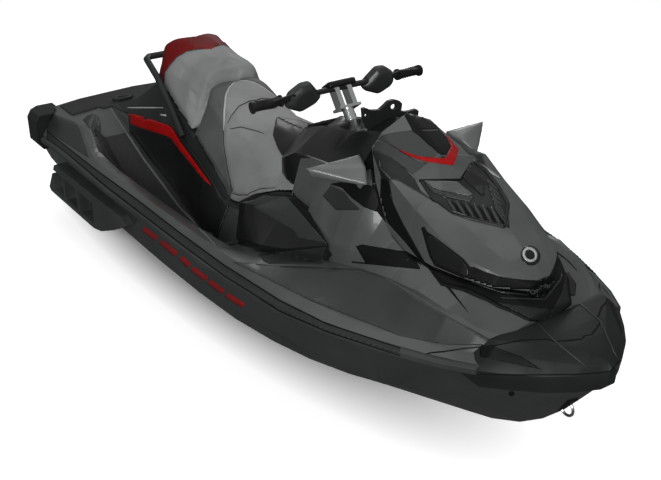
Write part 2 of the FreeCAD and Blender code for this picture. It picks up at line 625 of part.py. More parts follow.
def make_shells():
    """Hull, deck and foredeck, each with the hollows that other pieces sit in."""
    upper = above_bond()
    seats = [sponson_seat(side) for side in SIDES.values()]
    grate = intake_grate()
    hull = hull_form().cut(upper).multiFuse(strakes())
    hull = hull.cut([PUMP_BAY, ENGINE_BAY, BIN_POCKET, SHAFT_TUNNEL, intake_duct(), grate] + FOOTWELLS + seats)
    deck = deck_form().common(upper).cut([ENGINE_BAY, BIN_POCKET] + FOOTWELLS)
    keep("hull", hull.removeSplitter())
    keep("intake_grate", grate)
    keep("deck", deck.cut(FORE_ZONE).removeSplitter())
    keep("foredeck", deck.common(FORE_ZONE).removeSplitter())


make_shells()


def shells_between(low, high):
    """Hull and deck without their hollows, over some stations only."""
    upper = above_bond()
    return [hull_form(low, high).cut(upper), deck_form(low, high).common(upper)]


def make_rails():
    """Rub rails over the bond line, each side, up to the bow bumper."""
    out = D.rail_depth
    rows = within(HULL_SHARES, RAIL_SPAN_SHARES[0], RAIL_SPAN_SHARES[1])
    for name, side in SIDES.items():
        rings = []
        for x, keel, chine_y, chine_z, rail in rows:
            bond = bond_level(x * D.hull_length)
            base = Vector(x * D.hull_length, side * rail * D.half_beam, bond)
            foot = base + (knuckle_of(x, chine_y, chine_z, rail, side) - base) * RAIL_DROP_SHARE
            head = base + Vector(0, 0, LIP_SHARE * D.body_height)
            rings.append(ring([foot, foot + Vector(0, side * out * 0.7, 0), base + Vector(0, side * out, -out * 0.5),
                               base + Vector(0, side * out, out * 0.3), head + Vector(0, side * out * 0.5, 0),
                               head, base]))
        keep("rub_rail_" + name, loft(rings, True).removeSplitter())


make_rails()


def make_bow_bumper():
    """Wrap-round bow bumper with a flat nose facet."""
    rings = []
    rows = DECK_SHARES[-6:]
    for index, (x, ridge_y, ridge_z, crease_y, crease_z, centre) in enumerate(rows):
        grown = 1 if index else BUMPER_START_SHARE
        depth = D.bumper_depth * grown
        skirt = D.bumper_skirt * grown
        out = spot(x, rail_at(x), 0) + Vector(0, depth, 0)
        bond = bond_level(x * D.hull_length)
        up = Vector(0, 0, depth if index else -D.bumper_depth)
        rings.append(whole([Vector(out.x, 0, bond - skirt),
                            Vector(out.x, out.y - depth * 0.6, bond - skirt), Vector(out.x, out.y, bond - depth),
                            Vector(out.x, out.y, bond),
                            spot(x, ridge_y, ridge_z) + Vector(0, depth * 0.6, up.z * 0.6),
                            spot(x, crease_y, crease_z) + up, spot(x, 0, centre) + up]))
    last = spot(1, 0, 0) + Vector(D.bumper_depth, 0, 0)
    tip = D.bumper_depth
    foot = D.bond_bow - D.bumper_skirt * 0.7
    rings.append(whole([Vector(last.x, 0, foot), Vector(last.x, tip * 0.8, foot), Vector(last.x, tip, foot + tip),
                        Vector(last.x, tip, D.bond_bow), Vector(last.x, tip * 0.7, D.bond_bow + tip * 0.5),
                        Vector(last.x, tip * 0.4, D.bond_bow + tip), Vector(last.x, 0, D.bond_bow + tip)]))
    shells = shells_between(rows[0][0], 1) + [piece_shape("rub_rail_" + name) for name in SIDES]
    bumper = loft(rings, True).cut(shells).removeSplitter()
    return keep("bow_bumper", max(bumper.Solids, key=lambda solid: solid.Volume))


BOW_BUMPER = make_bow_bumper()


def make_stern_bumpers():
    """Black corner guards at the stern, tapered at the top and the foot."""
    shells = shells_between(0, 0.1)
    for name, side in SIDES.items():
        rings = []
        for level, reach in STERN_BUMPER_LEVEL_SHARES:
            rings.append(ring([spot(x, y * reach, level, side) for x, y in STERN_BUMPER_SHARES]))
        guard = loft(rings, True).cut(shells + [piece_shape("rub_rail_" + name)]).removeSplitter()
        keep("stern_bumper_" + name, max(guard.Solids, key=lambda solid: solid.Volume))


make_stern_bumpers()


def make_mats():
    """Traction mats in the footwells and on the rear platform."""
    for name, side in SIDES.items():
        keep("footwell_mat_" + name, mat_form(side))
    outline = [spot(x, y, 0) for x, y in REAR_MAT_SHARES]
    outline += [Vector(p.x, -p.y, 0) for p in reversed(outline) if p.y > 0]
    column = prism(outline, Vector(0, 0, D.body_height))
    stern = deck_form(0, 0.14)
    lifted = stern.copy()
    lifted.translate(Vector(0, 0, D.rear_mat_thickness))
    mat = column.common(lifted).cut([stern, PEDESTAL] + FOOTWELLS)
    keep("rear_mat", max(mat.Solids, key=lambda solid: solid.Volume))


def pedestal_form():
    """Centre ridge that carries the seats."""
    rings = []
    for x, side_y, side_z, top_y, top_z in PEDESTAL_SHARES:
        rings.append(whole([spot(x, 0, PEDESTAL_FOOT_SHARE), spot(x, side_y, PEDESTAL_FOOT_SHARE),
                            spot(x, side_y, side_z), spot(x, top_y, top_z), spot(x, 0, top_z)]))
    return loft(rings, True)


PEDESTAL_FORM = pedestal_form()
PEDESTAL = PEDESTAL_FORM.cut(shells_between(0.05, 0.67) + FOOTWELLS).removeSplitter()
keep("pedestal", PEDESTAL)
make_mats()


def make_side_panels():
    """Gloss panels on both sides of the pedestal."""
    for name, side in SIDES.items():
        keep("side_panel_" + name, panel_form(side))


make_side_panels()


def body_form(shares, foot_drop=0.0):
    """Body moulding lofted through foot, widest line and top edge."""
    rings = []
    for x, foot_y, foot_z, wide_y, wide_z, top_y, top_z in shares:
        rings.append(whole([spot(x, 0, foot_z - foot_drop), spot(x, foot_y, foot_z - foot_drop),
                            spot(x, foot_y, foot_z), spot(x, wide_y, wide_z), spot(x, top_y, top_z),
                            spot(x, 0, top_z)]))
    return loft(rings, True)


PIVOT = Vector(D.steer_station, 0, D.steer_height)
STEER_AXIS = Vector(-math.sin(math.radians(D.steer_rake)), 0, math.cos(math.radians(D.steer_rake)))


def column_well(extra=0.0):
    """Round well along the steering axis."""
    foot = PIVOT - STEER_AXIS * (D.column_drop + extra)
    return Part.makeCylinder(D.column_diameter / 2 + D.running_gap, 2 * D.column_drop, foot, STEER_AXIS)


def hinge_axis_point():
    """Centre of the hood hinge."""
    return Vector(D.hinge_station, 0, D.hinge_height)


def hood_form(grow=0.0, sink=0.0):
    """Form of the hood with its screen, scoop and flanks, grown outwards and deepened."""
    rings = []
    last = len(HOOD_SHARES) - 1
    for index, (x, centre, edge_y, edge_z, side_y, side_z, low_y, low_z) in enumerate(HOOD_SHARES):
        along = {0: -grow, last: grow}.get(index, 0)
        outward, upward = Vector(along, grow, 0), Vector(along, 0, grow)
        rings.append(whole([spot(x, 0, low_z) + Vector(along, 0, -sink),
                            spot(x, low_y, low_z) + Vector(along, grow, -sink),
                            spot(x, side_y, side_z) + outward, spot(x, edge_y, edge_z) + upward,
                            spot(x, 0, centre) + upward]))
    return loft(rings, True)


def make_hood():
    """Hood shell, its grille and its hinge leaves."""
    outer = hood_form()
    window = prism([spot(x, y, 0.74) for x, y in GRILLE_SHARES]
                   + [spot(x, -y, 0.74) for x, y in reversed(GRILLE_SHARES)],
                   Vector(0, 0, D.body_height))
    pin = hinge_axis_point()
    leaves = []
    for side in SIDES.values():
        centre = pin + Vector(0, side * D.hinge_spacing / 2, 0)
        leaf = cylinder_y(centre, 2 * D.hood_pin, D.hinge_leaf)
        web = block((centre.x - D.hood_pin, centre.y - D.hinge_leaf / 2, centre.z),
                    (centre.x + D.hood_pin, centre.y + D.hinge_leaf / 2, spot(0, 0, 0.735).z))
        bore = cylinder_y(centre, D.hood_pin + 2 * D.running_gap, 2 * D.hinge_leaf)
        leaves.append(leaf.fuse(web).cut(bore))
    shell = outer.cut([hood_form(-D.hood_skin, D.hood_skin), window]).multiFuse(leaves)
    keep("hood", shell.removeSplitter())
    frame = window.common(outer)
    backing = outer.copy()
    backing.translate(Vector(0, 0, -D.grille_depth))
    slats = []
    first, last = GRILLE_SHARES[0][0], GRILLE_SHARES[-1][0]
    count = int(D.louvre_count)
    for index in range(count + 1):
        x = (first + (last - first) * index / count) * D.hull_length
        foot = Vector(x, -D.half_beam, 0)
        slats.append(block(foot, foot + Vector(D.louvre_thickness, 2 * D.half_beam, 2 * D.body_height)))
    spine = block((first * D.hull_length, -D.louvre_thickness, 0),
                  (last * D.hull_length, D.louvre_thickness, 2 * D.body_height))
    lattice = slats[0].multiFuse(slats[1:] + [spine])
    louvres = frame.cut(backing).common(lattice)
    sunk = louvres.copy()
    sunk.translate(Vector(0, 0, -D.louvre_thickness))
    keep("hood_grille", sunk.common(window).removeSplitter())


def make_body_panels():
    """Fixed body in front of the seat, and the darker nose ahead of it."""
    pin = hinge_axis_point()
    under_hood = hood_form(D.moving_gap, D.moving_gap)
    cowl = body_form(COWL_SHARES, FOOT_DROP_SHARE).cut(shells_between(0.58, 0.84) + [BIN_POCKET, PEDESTAL_FORM])
    cowl = cowl.cut(FOOTWELLS + [under_hood, CONSOLE_FORM, column_well(D.overrun)])
    nose = body_form(NOSE_SHARES, FOOT_DROP_SHARE).cut(shells_between(0.78, 0.955) + [BIN_POCKET, BOW_BUMPER])
    slot_width = D.hinge_spacing + D.hinge_leaf + 2 * D.moving_gap
    slot = block((pin.x - 3 * D.hood_pin, -slot_width / 2, pin.z - 2 * D.hood_pin),
                 (pin.x + 3 * D.hood_pin, slot_width / 2, D.body_height))
    nose = nose.cut([slot, under_hood])
    lug_width = D.hinge_spacing - D.hinge_leaf - 2 * D.soft_gap
    lug = block((pin.x - D.hood_pin, -lug_width / 2, pin.z - 2 * D.hood_pin),
                (pin.x + D.hood_pin, lug_width / 2, pin.z + D.hood_pin / 2))
    axle = cylinder_y(pin, D.hood_pin, D.hinge_spacing + D.hinge_leaf)
    nose = nose.multiFuse([lug, axle])
    keep("cowl", cowl.removeSplitter())
    keep("nose_cowl", nose.removeSplitter())


def lid_frame():
    """Hinge point, forward direction and up direction of the glovebox lid."""
    slope = math.radians(D.lid_slope)
    hinge = Vector(D.lid_station, 0, D.lid_height)
    return hinge, Vector(math.cos(slope), 0, math.sin(slope)), Vector(-math.sin(slope), 0, math.cos(slope))


def lid_block(start, length, width, low, high):
    """Box in the frame of the glovebox lid."""
    hinge, ahead, up = lid_frame()
    corner = hinge + ahead * start + up * low - Vector(0, width / 2, 0)
    points = [corner, corner + Vector(0, width, 0), corner + Vector(0, width, 0) + ahead * length,
              corner + ahead * length]
    return prism(points, up * (high - low))


def console_form():
    """Saddle round the steering column, with the glovebox in front of the rider."""
    rings = []
    for x, centre, shoulder_y, shoulder_z, foot_y, foot_z in CONSOLE_SHARES:
        rings.append(whole([spot(x, 0, CONSOLE_FLOOR_SHARE), spot(x, foot_y, CONSOLE_FLOOR_SHARE),
                            spot(x, foot_y, foot_z), spot(x, shoulder_y, shoulder_z),
                            spot(x, 0, centre)]))
    return loft(rings, True)


CONSOLE_FORM = console_form()


def make_console():
    """Saddle moulding with its column well, glovebox pocket and lid seat."""
    form = CONSOLE_FORM.cut([PEDESTAL_FORM, column_well(D.overrun)])
    wall = 3 * D.lid_thickness
    pocket_hole = lid_block(wall / 2, D.lid_length - wall, D.lid_width - wall,
                            -D.lid_pocket, 3 * D.lid_pocket)
    seat = lid_block(-D.lid_pin, D.lid_length + D.lid_pin + D.seam_gap, D.lid_width + 2 * D.seam_gap,
                     -D.lid_thickness - D.soft_gap, 3 * D.lid_pocket)
    return form.cut([pocket_hole, seat])


CONSOLE = make_console()


def seat_form(shares):
    """Cushion lofted through crown, shoulder, waist and hem."""
    rings = []
    for x, top, crown, shoulder, drop, waist_y, waist_z, hem_y, hem_z in shares:
        rings.append(whole([spot(x, 0, hem_z), spot(x, hem_y, hem_z), spot(x, waist_y, waist_z),
                            spot(x, shoulder, top - drop), spot(x, crown, top), spot(x, 0, top)]))
    return loft(rings, True)


def make_seats():
    """Driver's saddle and the raised passenger cushion behind it."""
    lifted = PEDESTAL_FORM.copy()
    lifted.translate(Vector(0, 0, D.soft_gap))
    console = CONSOLE_FORM.copy()
    console.translate(Vector(-D.soft_gap, 0, 0))
    driver = seat_form(DRIVER_SEAT_SHARES).cut([lifted, console])
    passenger = seat_form(PASSENGER_SEAT_SHARES).cut(lifted)
    keep("seat_driver", driver.removeSplitter())
    keep("seat_passenger", passenger.removeSplitter())
    return driver


DRIVER_SEAT = make_seats()


def make_lid():
    """Glovebox lid with its hinge barrel."""
    hinge, ahead, up = lid_frame()
    plate = lid_block(0, D.lid_length, D.lid_width, -D.lid_thickness, 0)
    barrel = cylinder_y(hinge - up * (D.lid_thickness / 2), D.lid_thickness, D.lid_width)
    keep("glovebox_lid", plate.fuse(barrel).removeSplitter())


make_lid()
keep("console", CONSOLE.removeSplitter())
make_body_panels()
make_hood()


def make_knee_boxes():
    """Black boxes that close the front of each footwell."""
    shells = [shell.cut(FOOTWELLS) for shell in shells_between(0.42, 0.72)]
    for name, side in SIDES.items():
        rings = []
        for x, inner_y, inner_z, crest_y, crest_z, outer_y, outer_z in KNEE_BOX_SHARES:
            root = inner_y - KNEE_ROOT_SHARE
            rings.append(ring([spot(x, root, KNEE_FLOOR_SHARE, side), spot(x, outer_y, KNEE_FLOOR_SHARE, side),
                               spot(x, outer_y, outer_z, side), spot(x, crest_y, crest_z, side),
                               spot(x, inner_y, inner_z, side), spot(x, root, inner_z, side)]))
        form = loft(rings, True)
        others = [piece_shape(label) for label in ("cowl", "console", "side_panel_" + name, "footwell_mat_" + name)]
        box = form.cut(shells + [PEDESTAL_FORM, DRIVER_SEAT] + others).removeSplitter()
        keep("knee_box_" + name, max(box.Solids, key=lambda solid: solid.Volume))


make_knee_boxes()


def make_bin():
    """Front storage tub under the hood."""
    body = new_body("storage_bin")
    start, end = "dims.bin_start", "(dims.bin_start + dims.bin_length)"
    half, wall = "dims.bin_width / 2", "dims.bin_wall"
    outline = new_sketch(body, "XY_Plane", "bin_outline", "dims.bin_floor")
    draw_outline(outline, [(start, f"-{half}"), (end, f"-{half}"), (end, half), (start, half)])
    pad(body, outline, "dims.bin_top - dims.bin_floor")
    inside = new_sketch(body, "XY_Plane", "bin_inside", "dims.bin_top")
    near, far = f"{start} + {wall}", f"{end} - {wall}"
    draw_outline(inside, [(near, f"{wall} - {half}"), (far, f"{wall} - {half}"),
                          (far, f"{half} - {wall}"), (near, f"{half} - {wall}")])
    pocket(body, inside, f"dims.bin_top - dims.bin_floor - {wall}")


make_bin()


def make_engine():
    """Engine as one plain block on the bay floor."""
    engine = DOC.addObject("Part::Box", "engine_block")
    for prop, text in (("Length", "dims.engine_length"), ("Width", "dims.engine_width"),
                       ("Height", "dims.engine_height"), ("Placement.Base.x", "dims.engine_start"),
                       ("Placement.Base.y", "-dims.engine_width / 2"),
                       ("Placement.Base.z", "dims.engine_bay_floor")):
        engine.setExpression(prop, text)
    DOC.recompute()
    rounded = DOC.addObject("Part::Fillet", "engine")
    rounded.Base = engine
    radius = 2 * D.bin_wall
    rounded.Edges = [(index, radius, radius) for index in (9, 10, 11, 12)]
    rounded.Label = "engine"
    seat_placement(rounded)
    NODES.append(rounded)


make_engine()


def make_sponsons():
    """Side sponsons, each a skeg with three ribbed bays."""
    for name, side in SIDES.items():
        body = new_body("sponson_" + name)
        corners = [(f"{x} * dims.hull_length", f"{z} * dims.body_height") for x, z in SPONSON_SHARES]
        offset = f"{-side} * dims.sponson_base"
        base = new_sketch(body, "XZ_Plane", "sponson_outline", offset)
        draw_outline(base, corners)
        plate = pad(body, base, "dims.sponson_depth")
        plate.Reversed = side > 0
        low, high = (f"{z} * dims.body_height" for z in SPONSON_BAY_HEIGHT_SHARES)
        bays = new_sketch(body, "XZ_Plane", "sponson_bays", f"{-side} * (dims.sponson_base + dims.sponson_skin)")
        for start, end in SPONSON_BAY_SHARES:
            x0, x1 = f"{start} * dims.hull_length", f"{end} * dims.hull_length"
            draw_outline(bays, [(x0, low), (x1, low), (x1, high), (x0, high)])
        pocket(body, bays, "dims.sponson_depth", backwards=side < 0)
        body.Tip = body.Group[-1]


make_sponsons()


def make_ride_plate():
    """V-shaped plate that closes the pump bay from below, with shallow grooves along it."""
    body = new_body("ride_plate")
    x, keel, chine_y, chine_z, rail = HULL_SHARES[3]
    slope = f"{chine_z} * dims.body_height / ({chine_y} * dims.half_beam)"
    half = "dims.bay_width / 2"
    rear = "(dims.bay_length - dims.plate_length)"
    outline = new_sketch(body, "YZ_Plane", "plate_outline", rear)
    edge = f"dims.plate_height + {half} * {slope}"
    draw_outline(outline, [("0", "dims.plate_height"), (half, edge), (half, f"{edge} + dims.plate_thickness"),
                           ("0", "dims.plate_height + dims.plate_thickness"),
                           (f"-{half}", f"{edge} + dims.plate_thickness"), (f"-{half}", edge)])
    pad(body, outline, "dims.plate_length")
    grooves = new_sketch(body, "XY_Plane", "plate_grooves", "-dims.overrun")
    for side in (-1, 1):
        centre = f"{side} * dims.groove_place"
        low, high = f"{centre} - dims.groove_width / 2", f"{centre} + dims.groove_width / 2"
        start, end = f"{rear} + dims.groove_place", "dims.bay_length - dims.groove_place"
        draw_outline(grooves, [(start, low), (end, low), (end, high), (start, high)])
    pocket(body, grooves, f"dims.overrun + dims.plate_height + dims.groove_place * {slope}"
                          " + dims.plate_thickness / 3", backwards=True)


make_ride_plate()


def pump_point(station):
    """Point of the pump axis at a station."""
    return Vector(station, 0, D.pump_axis_height)


def tube(start, end, outer_start, outer_end, inner_start, inner_end):
    """Tapered tube along the pump axis."""
    length = end - start
    outer = Part.makeCone(outer_start / 2, outer_end / 2, length, pump_point(start), Vector(1, 0, 0)) \
        if outer_start != outer_end else Part.makeCylinder(outer_start / 2, length, pump_point(start), Vector(1, 0, 0))
    inner = Part.makeCone(inner_start / 2, inner_end / 2, length, pump_point(start), Vector(1, 0, 0)) \
        if inner_start != inner_end else Part.makeCylinder(inner_start / 2, length, pump_point(start), Vector(1, 0, 0))
    return outer.cut(inner)


def make_pump():
    """Pump housing with its stator, outlet cone, mounting flange and the arms for ring and bucket."""
    front = D.bay_length
    rear = front - D.pump_length
    bore = D.pump_bore
    outer = bore + 2 * D.pump_wall
    outlet_outer = D.pump_outlet + 2 * D.pump_outlet_wall
    pieces = [tube(rear, front, outer, outer, bore, bore),
              tube(rear - D.pump_cone_length, rear, outlet_outer, outer, D.pump_outlet, bore)]
    half = D.pump_flange / 2
    flange = block((front - D.pump_flange_thickness, -half, D.pump_axis_height - half * 0.6),
                   (front, half, D.pump_axis_height + half))
    pieces.append(flange.cut(Part.makeCylinder(bore / 2, D.pump_flange_thickness,
                                               pump_point(front - D.pump_flange_thickness), Vector(1, 0, 0))))
    hub = Part.makeCylinder(D.hub_diameter / 2, D.stator_length, pump_point(rear), Vector(1, 0, 0))
    tail = Part.makeCone(D.hub_diameter / 8, D.hub_diameter / 2, D.stator_length / 2,
                         pump_point(rear - D.stator_length / 2), Vector(1, 0, 0))
    vanes = []
    for index in range(int(D.vane_count)):
        vane = block((rear, -D.vane_thickness / 2, D.hub_diameter / 4),
                     (rear + D.stator_length, D.vane_thickness / 2, bore / 2 + D.pump_wall / 2))
        vane.translate(Vector(0, 0, D.pump_axis_height))
        vane.rotate(pump_point(rear), Vector(1, 0, 0), 360 / D.vane_count * index)
        vanes.append(vane)
    pieces += [hub, tail] + vanes
    for side in SIDES.values():
        y0 = side * D.arm_inner
        y1 = y0 + side * D.arm_thickness
        low = D.pump_axis_height - D.arm_height / 2
        pieces.append(block((rear - D.arm_reach, y0, low), (rear + D.pump_wall, y1, low + D.arm_height)))
    housing = pieces[0].multiFuse(pieces[1:])
    reach = 2 * (D.arm_inner + D.arm_thickness + D.overrun)
    bores = [cylinder_y(pump_point(D.ring_station), D.ring_pin + 2 * D.running_gap, reach),
             cylinder_y(pump_point(D.bucket_station), D.bucket_pin + 2 * D.running_gap, reach),
             Part.makeCylinder(D.shaft_diameter / 2 + D.running_gap, D.stub_length + D.running_gap,
                               pump_point(rear + D.stator_length - D.stub_length), Vector(1, 0, 0))]
    inner_air = Part.makeCylinder(bore / 2, D.impeller_length + D.stator_length,
                                  pump_point(rear + D.stator_length), Vector(1, 0, 0))
    keep("pump_housing", housing.cut(bores[:1] + bores[2:] + [bores[1].cut(
        Part.makeCylinder(outlet_outer / 2 + D.pump_wall, 2 * D.pump_length, pump_point(0),
                          Vector(1, 0, 0)))]).cut(inner_air).removeSplitter())


make_pump()


def make_impeller():
    """Helical impeller on its hub, with the stub that runs in the stator."""
    start = D.impeller_station - D.impeller_length / 2
    hub = Part.makeCylinder(D.hub_diameter / 2, D.impeller_length, pump_point(start), Vector(1, 0, 0))
    nose = Part.makeCone(D.hub_diameter / 2, D.shaft_diameter / 2, D.hub_diameter / 3,
                         pump_point(start + D.impeller_length), Vector(1, 0, 0))
    rear = D.bay_length - D.pump_length + D.stator_length - D.stub_length
    stub = Part.makeCylinder(D.shaft_diameter / 2, start - rear, pump_point(rear), Vector(1, 0, 0))
    blades = []
    stages = ((D.hub_diameter / 3, D.blade_root_pitch), (D.impeller_diameter / 3, 0.5 * (D.blade_root_pitch + D.blade_tip_pitch)),
              (D.impeller_diameter / 2 + D.blade_thickness, D.blade_tip_pitch))
    for index in range(int(D.blade_count)):
        rings = []
        for radius, pitch in stages:
            angle = math.radians(pitch)
            chord = D.impeller_length * 0.84 / math.cos(angle)
            half, thick = chord / 2, D.blade_thickness / 2
            ahead = Vector(math.cos(angle), math.sin(angle), 0)
            aside = Vector(-math.sin(angle), math.cos(angle), 0)
            centre = pump_point(D.impeller_station) + Vector(0, 0, radius)
            rings.append(ring([centre + ahead * half + aside * thick, centre - ahead * half + aside * thick,
                               centre - ahead * half - aside * thick, centre + ahead * half - aside * thick]))
        blade = loft(rings, True)
        blade.rotate(pump_point(start), Vector(1, 0, 0), 360 / D.blade_count * index)
        blades.append(blade)
    swept = Part.makeCylinder(D.impeller_diameter / 2, D.impeller_length, pump_point(start), Vector(1, 0, 0))
    blades = [blade.common(swept) for blade in blades]
    keep("impeller", hub.multiFuse([nose, stub] + blades).removeSplitter())
    shaft = DOC.addObject("Part::Cylinder", "drive_shaft")
    shaft.Placement.Rotation = Rotation(Vector(0, 1, 0), 90)
    shaft_start = "(dims.impeller_station + dims.impeller_length / 2 + dims.hub_diameter / 3)"
    for prop, text in (("Radius", "dims.shaft_diameter / 2"),
                       ("Height", f"dims.engine_start - dims.moving_gap - {shaft_start}"),
                       ("Placement.Base.x", f"{shaft_start} - dims.waterline_station"),
                       ("Placement.Base.z", "dims.pump_axis_height - dims.draft")):
        shaft.setExpression(prop, text)
    NODES.append(shaft)


make_impeller()


def make_outlet():
    """Trim ring, steering nozzle and reverse bucket behind the pump."""
    ring_outer = D.ring_bore + 2 * D.ring_wall
    half = D.ring_length / 2
    trim = tube(D.ring_station - half, D.ring_station + half, ring_outer, ring_outer, D.ring_bore, D.ring_bore)
    arm_face = D.arm_inner + D.arm_thickness
    pins = cylinder_y(pump_point(D.ring_station), D.ring_pin, 2 * arm_face)
    core = Part.makeCylinder(D.ring_bore / 2 + D.ring_wall / 2, 4 * D.ring_length,
                             pump_point(D.ring_station - 2 * D.ring_length), Vector(1, 0, 0))
    upright = Part.makeCylinder(D.nozzle_pin / 2 + D.running_gap, 2 * ring_outer,
                                pump_point(D.ring_station) - Vector(0, 0, ring_outer), Vector(0, 0, 1))
    keep("trim_ring", trim.fuse(pins.cut(core)).cut(upright).removeSplitter())
    front = D.ring_station + D.nozzle_lead
    rear = front - D.nozzle_length
    wall = 2 * D.nozzle_wall
    cone = tube(rear, front, D.nozzle_outlet, D.nozzle_inlet, D.nozzle_outlet - wall, D.nozzle_inlet - wall)
    king = Part.makeCylinder(D.nozzle_pin / 2, ring_outer, pump_point(D.ring_station) - Vector(0, 0, ring_outer / 2),
                             Vector(0, 0, 1))
    water = Part.makeCylinder(D.nozzle_inlet / 2 - D.nozzle_wall, 4 * D.ring_length,
                              pump_point(D.ring_station - 2 * D.ring_length), Vector(1, 0, 0))
    half = D.nozzle_outlet / 2
    lever = block((rear + D.nozzle_wall / 2, half - D.nozzle_wall, D.pump_axis_height - D.nozzle_wall),
                  (rear + D.nozzle_pin * 1.6, half + D.nozzle_lever, D.pump_axis_height + D.nozzle_wall))
    keep("steering_nozzle", cone.multiFuse([king.cut(water), lever.cut(water)]).removeSplitter())
    pivot = pump_point(D.bucket_station)
    inner_y = arm_face + D.bucket_gap
    outer_y = inner_y + D.bucket_wall
    scoop = Part.makeCylinder(D.bucket_radius, 2 * outer_y, pivot - Vector(0, outer_y, 0), Vector(0, 1, 0))
    hollow = Part.makeCylinder(D.bucket_radius - D.bucket_wall, 2 * inner_y, pivot - Vector(0, inner_y, 0), Vector(0, 1, 0))
    reach = 2 * D.bucket_radius
    a0, a1 = math.radians(D.bucket_start_angle), math.radians(D.bucket_start_angle + D.bucket_sweep)
    wedge = prism([pivot - Vector(0, outer_y, 0),
                   pivot + Vector(-reach * math.cos(a0), -outer_y, reach * math.sin(a0)),
                   pivot + Vector(-reach * math.cos(a1), -outer_y, reach * math.sin(a1))], Vector(0, 2 * outer_y, 0))
    shell = scoop.cut(hollow).common(wedge)
    ears = []
    for side in SIDES.values():
        ear = cylinder_y(pivot + Vector(0, side * (inner_y + outer_y) / 2, 0), 2.4 * D.bucket_pin, D.bucket_wall)
        pin = cylinder_y(pivot + Vector(0, side * (D.arm_inner + inner_y) / 2, 0), D.bucket_pin, inner_y - D.arm_inner)
        ears += [ear, pin]
    keep("reverse_bucket", shell.multiFuse(ears).removeSplitter())


make_outlet()


def steer_point(across, ahead, up):
    """Point in the tilted frame of the steering: port, forward and along the axis."""
    forward = Vector(math.cos(math.radians(D.steer_rake)), 0, math.sin(math.radians(D.steer_rake)))
    return PIVOT + Vector(0, across, 0) + forward * ahead + STEER_AXIS * up


def tilted_box(across, ahead, up, width, length, height):
    """Box centred in the tilted frame of the steering, standing on its lower face."""
    half_w, half_l = width / 2, length / 2
    points = [steer_point(across - half_w, ahead - half_l, up), steer_point(across + half_w, ahead - half_l, up),
              steer_point(across + half_w, ahead + half_l, up), steer_point(across - half_w, ahead + half_l, up)]
    return prism(points, STEER_AXIS * height)


def make_steering():
    """Column, riser, handlebar, grips, controls and pad."""
    column = Part.makeCylinder(D.column_diameter / 2, D.column_drop + D.column_rise,
                               PIVOT - STEER_AXIS * D.column_drop, STEER_AXIS)
    plate = tilted_box(0, 0, D.column_rise, D.riser_spread + 2 * D.riser_width, D.riser_depth * 1.3, D.riser_width / 2)
    base = D.column_rise + D.riser_width / 2
    posts = [tilted_box(side * D.riser_spread / 2, 0, base, D.riser_width, D.riser_depth, D.riser_height)
             for side in SIDES.values()]
    bar_level = base + D.riser_height
    clamp = cylinder_y(steer_point(0, D.bar_lead, bar_level), D.bar_diameter, 2 * D.bar_bend)
    ends = [steer_point(side * D.bar_half_span, D.bar_lead - D.bar_sweep, bar_level) for side in (-1, 1)]
    bends = [steer_point(side * D.bar_bend, D.bar_lead, bar_level) for side in (-1, 1)]
    bar = bent_bar([ends[0], *bends, ends[1]], D.bar_diameter)
    riser = posts[0].multiFuse(posts[1:] + [plate, column]).cut(clamp)
    keep("steering_riser", riser.removeSplitter())
    keep("handlebar", bar.removeSplitter())
    grips, pods, levers = [], [], []
    for side, tip, root in zip((-1, 1), ends, bends):
        inward = (root - tip) * (1 / (root - tip).Length)
        start = tip - inward * D.grip_flange_width
        sleeve = Part.makeCylinder(D.grip_diameter / 2, D.grip_length, start, inward)
        flange = Part.makeCylinder(D.grip_flange / 2, D.grip_flange_width, start, inward)
        collar = Part.makeCylinder(D.grip_flange / 2, D.grip_flange_width,
                                   start + inward * (D.grip_length - D.grip_flange_width), inward)
        core = Part.makeCylinder(D.bar_diameter / 2, D.grip_length, tip, inward)
        grips.append(sleeve.multiFuse([flange, collar]).cut(core))
        pod = pod_form(side, bar_level)
        pods.append(pod.cut(clamp))
        reach = steer_point(side * (D.bar_bend - D.pod_length / 4), D.bar_lead, bar_level)
        ahead = (steer_point(0, 1, 0) - PIVOT) * D.lever_offset
        outward = Vector(0, side, 0)
        elbow = reach + ahead * 2 + outward * D.lever_offset
        lever = rod([reach + ahead, elbow, elbow + outward * D.lever_length - STEER_AXIS * D.lever_diameter],
                    D.lever_diameter)
        levers.append(lever.cut(pod))
    keep("grips", Part.makeCompound(grips))
    keep("lever_housings", Part.makeCompound(pods))
    keep("control_levers", Part.makeCompound(levers))
    bar_pad = tilted_box(0, 0, bar_level + D.soft_gap, D.pad_length, D.pad_width, D.pad_height)
    keep("bar_pad", bar_pad.cut(clamp).removeSplitter())


def pod_form(side, bar_level):
    """Faceted control pod beside a grip, leaning forward at its top."""
    lean = math.radians(D.pod_lean)
    upward = Vector(math.sin(lean), 0, math.cos(lean))
    facing = Vector(math.cos(lean), 0, -math.sin(lean))
    middle = steer_point(side * (D.bar_bend - D.grip_flange_width - D.pod_length / 2), D.bar_lead, bar_level)
    middle += upward * D.pod_lift
    rings = []
    for place, size in POD_DEPTH_SHARES:
        corners = []
        for inwards, height in POD_SHARES:
            across = Vector(0, side * (0.5 - inwards) * D.pod_length * size, 0)
            corners.append(middle + across + upward * ((height - 0.5) * D.pod_height * size)
                           + facing * (place * D.pod_depth))
        rings.append(ring(corners))
    return loft(rings, True)


make_steering()


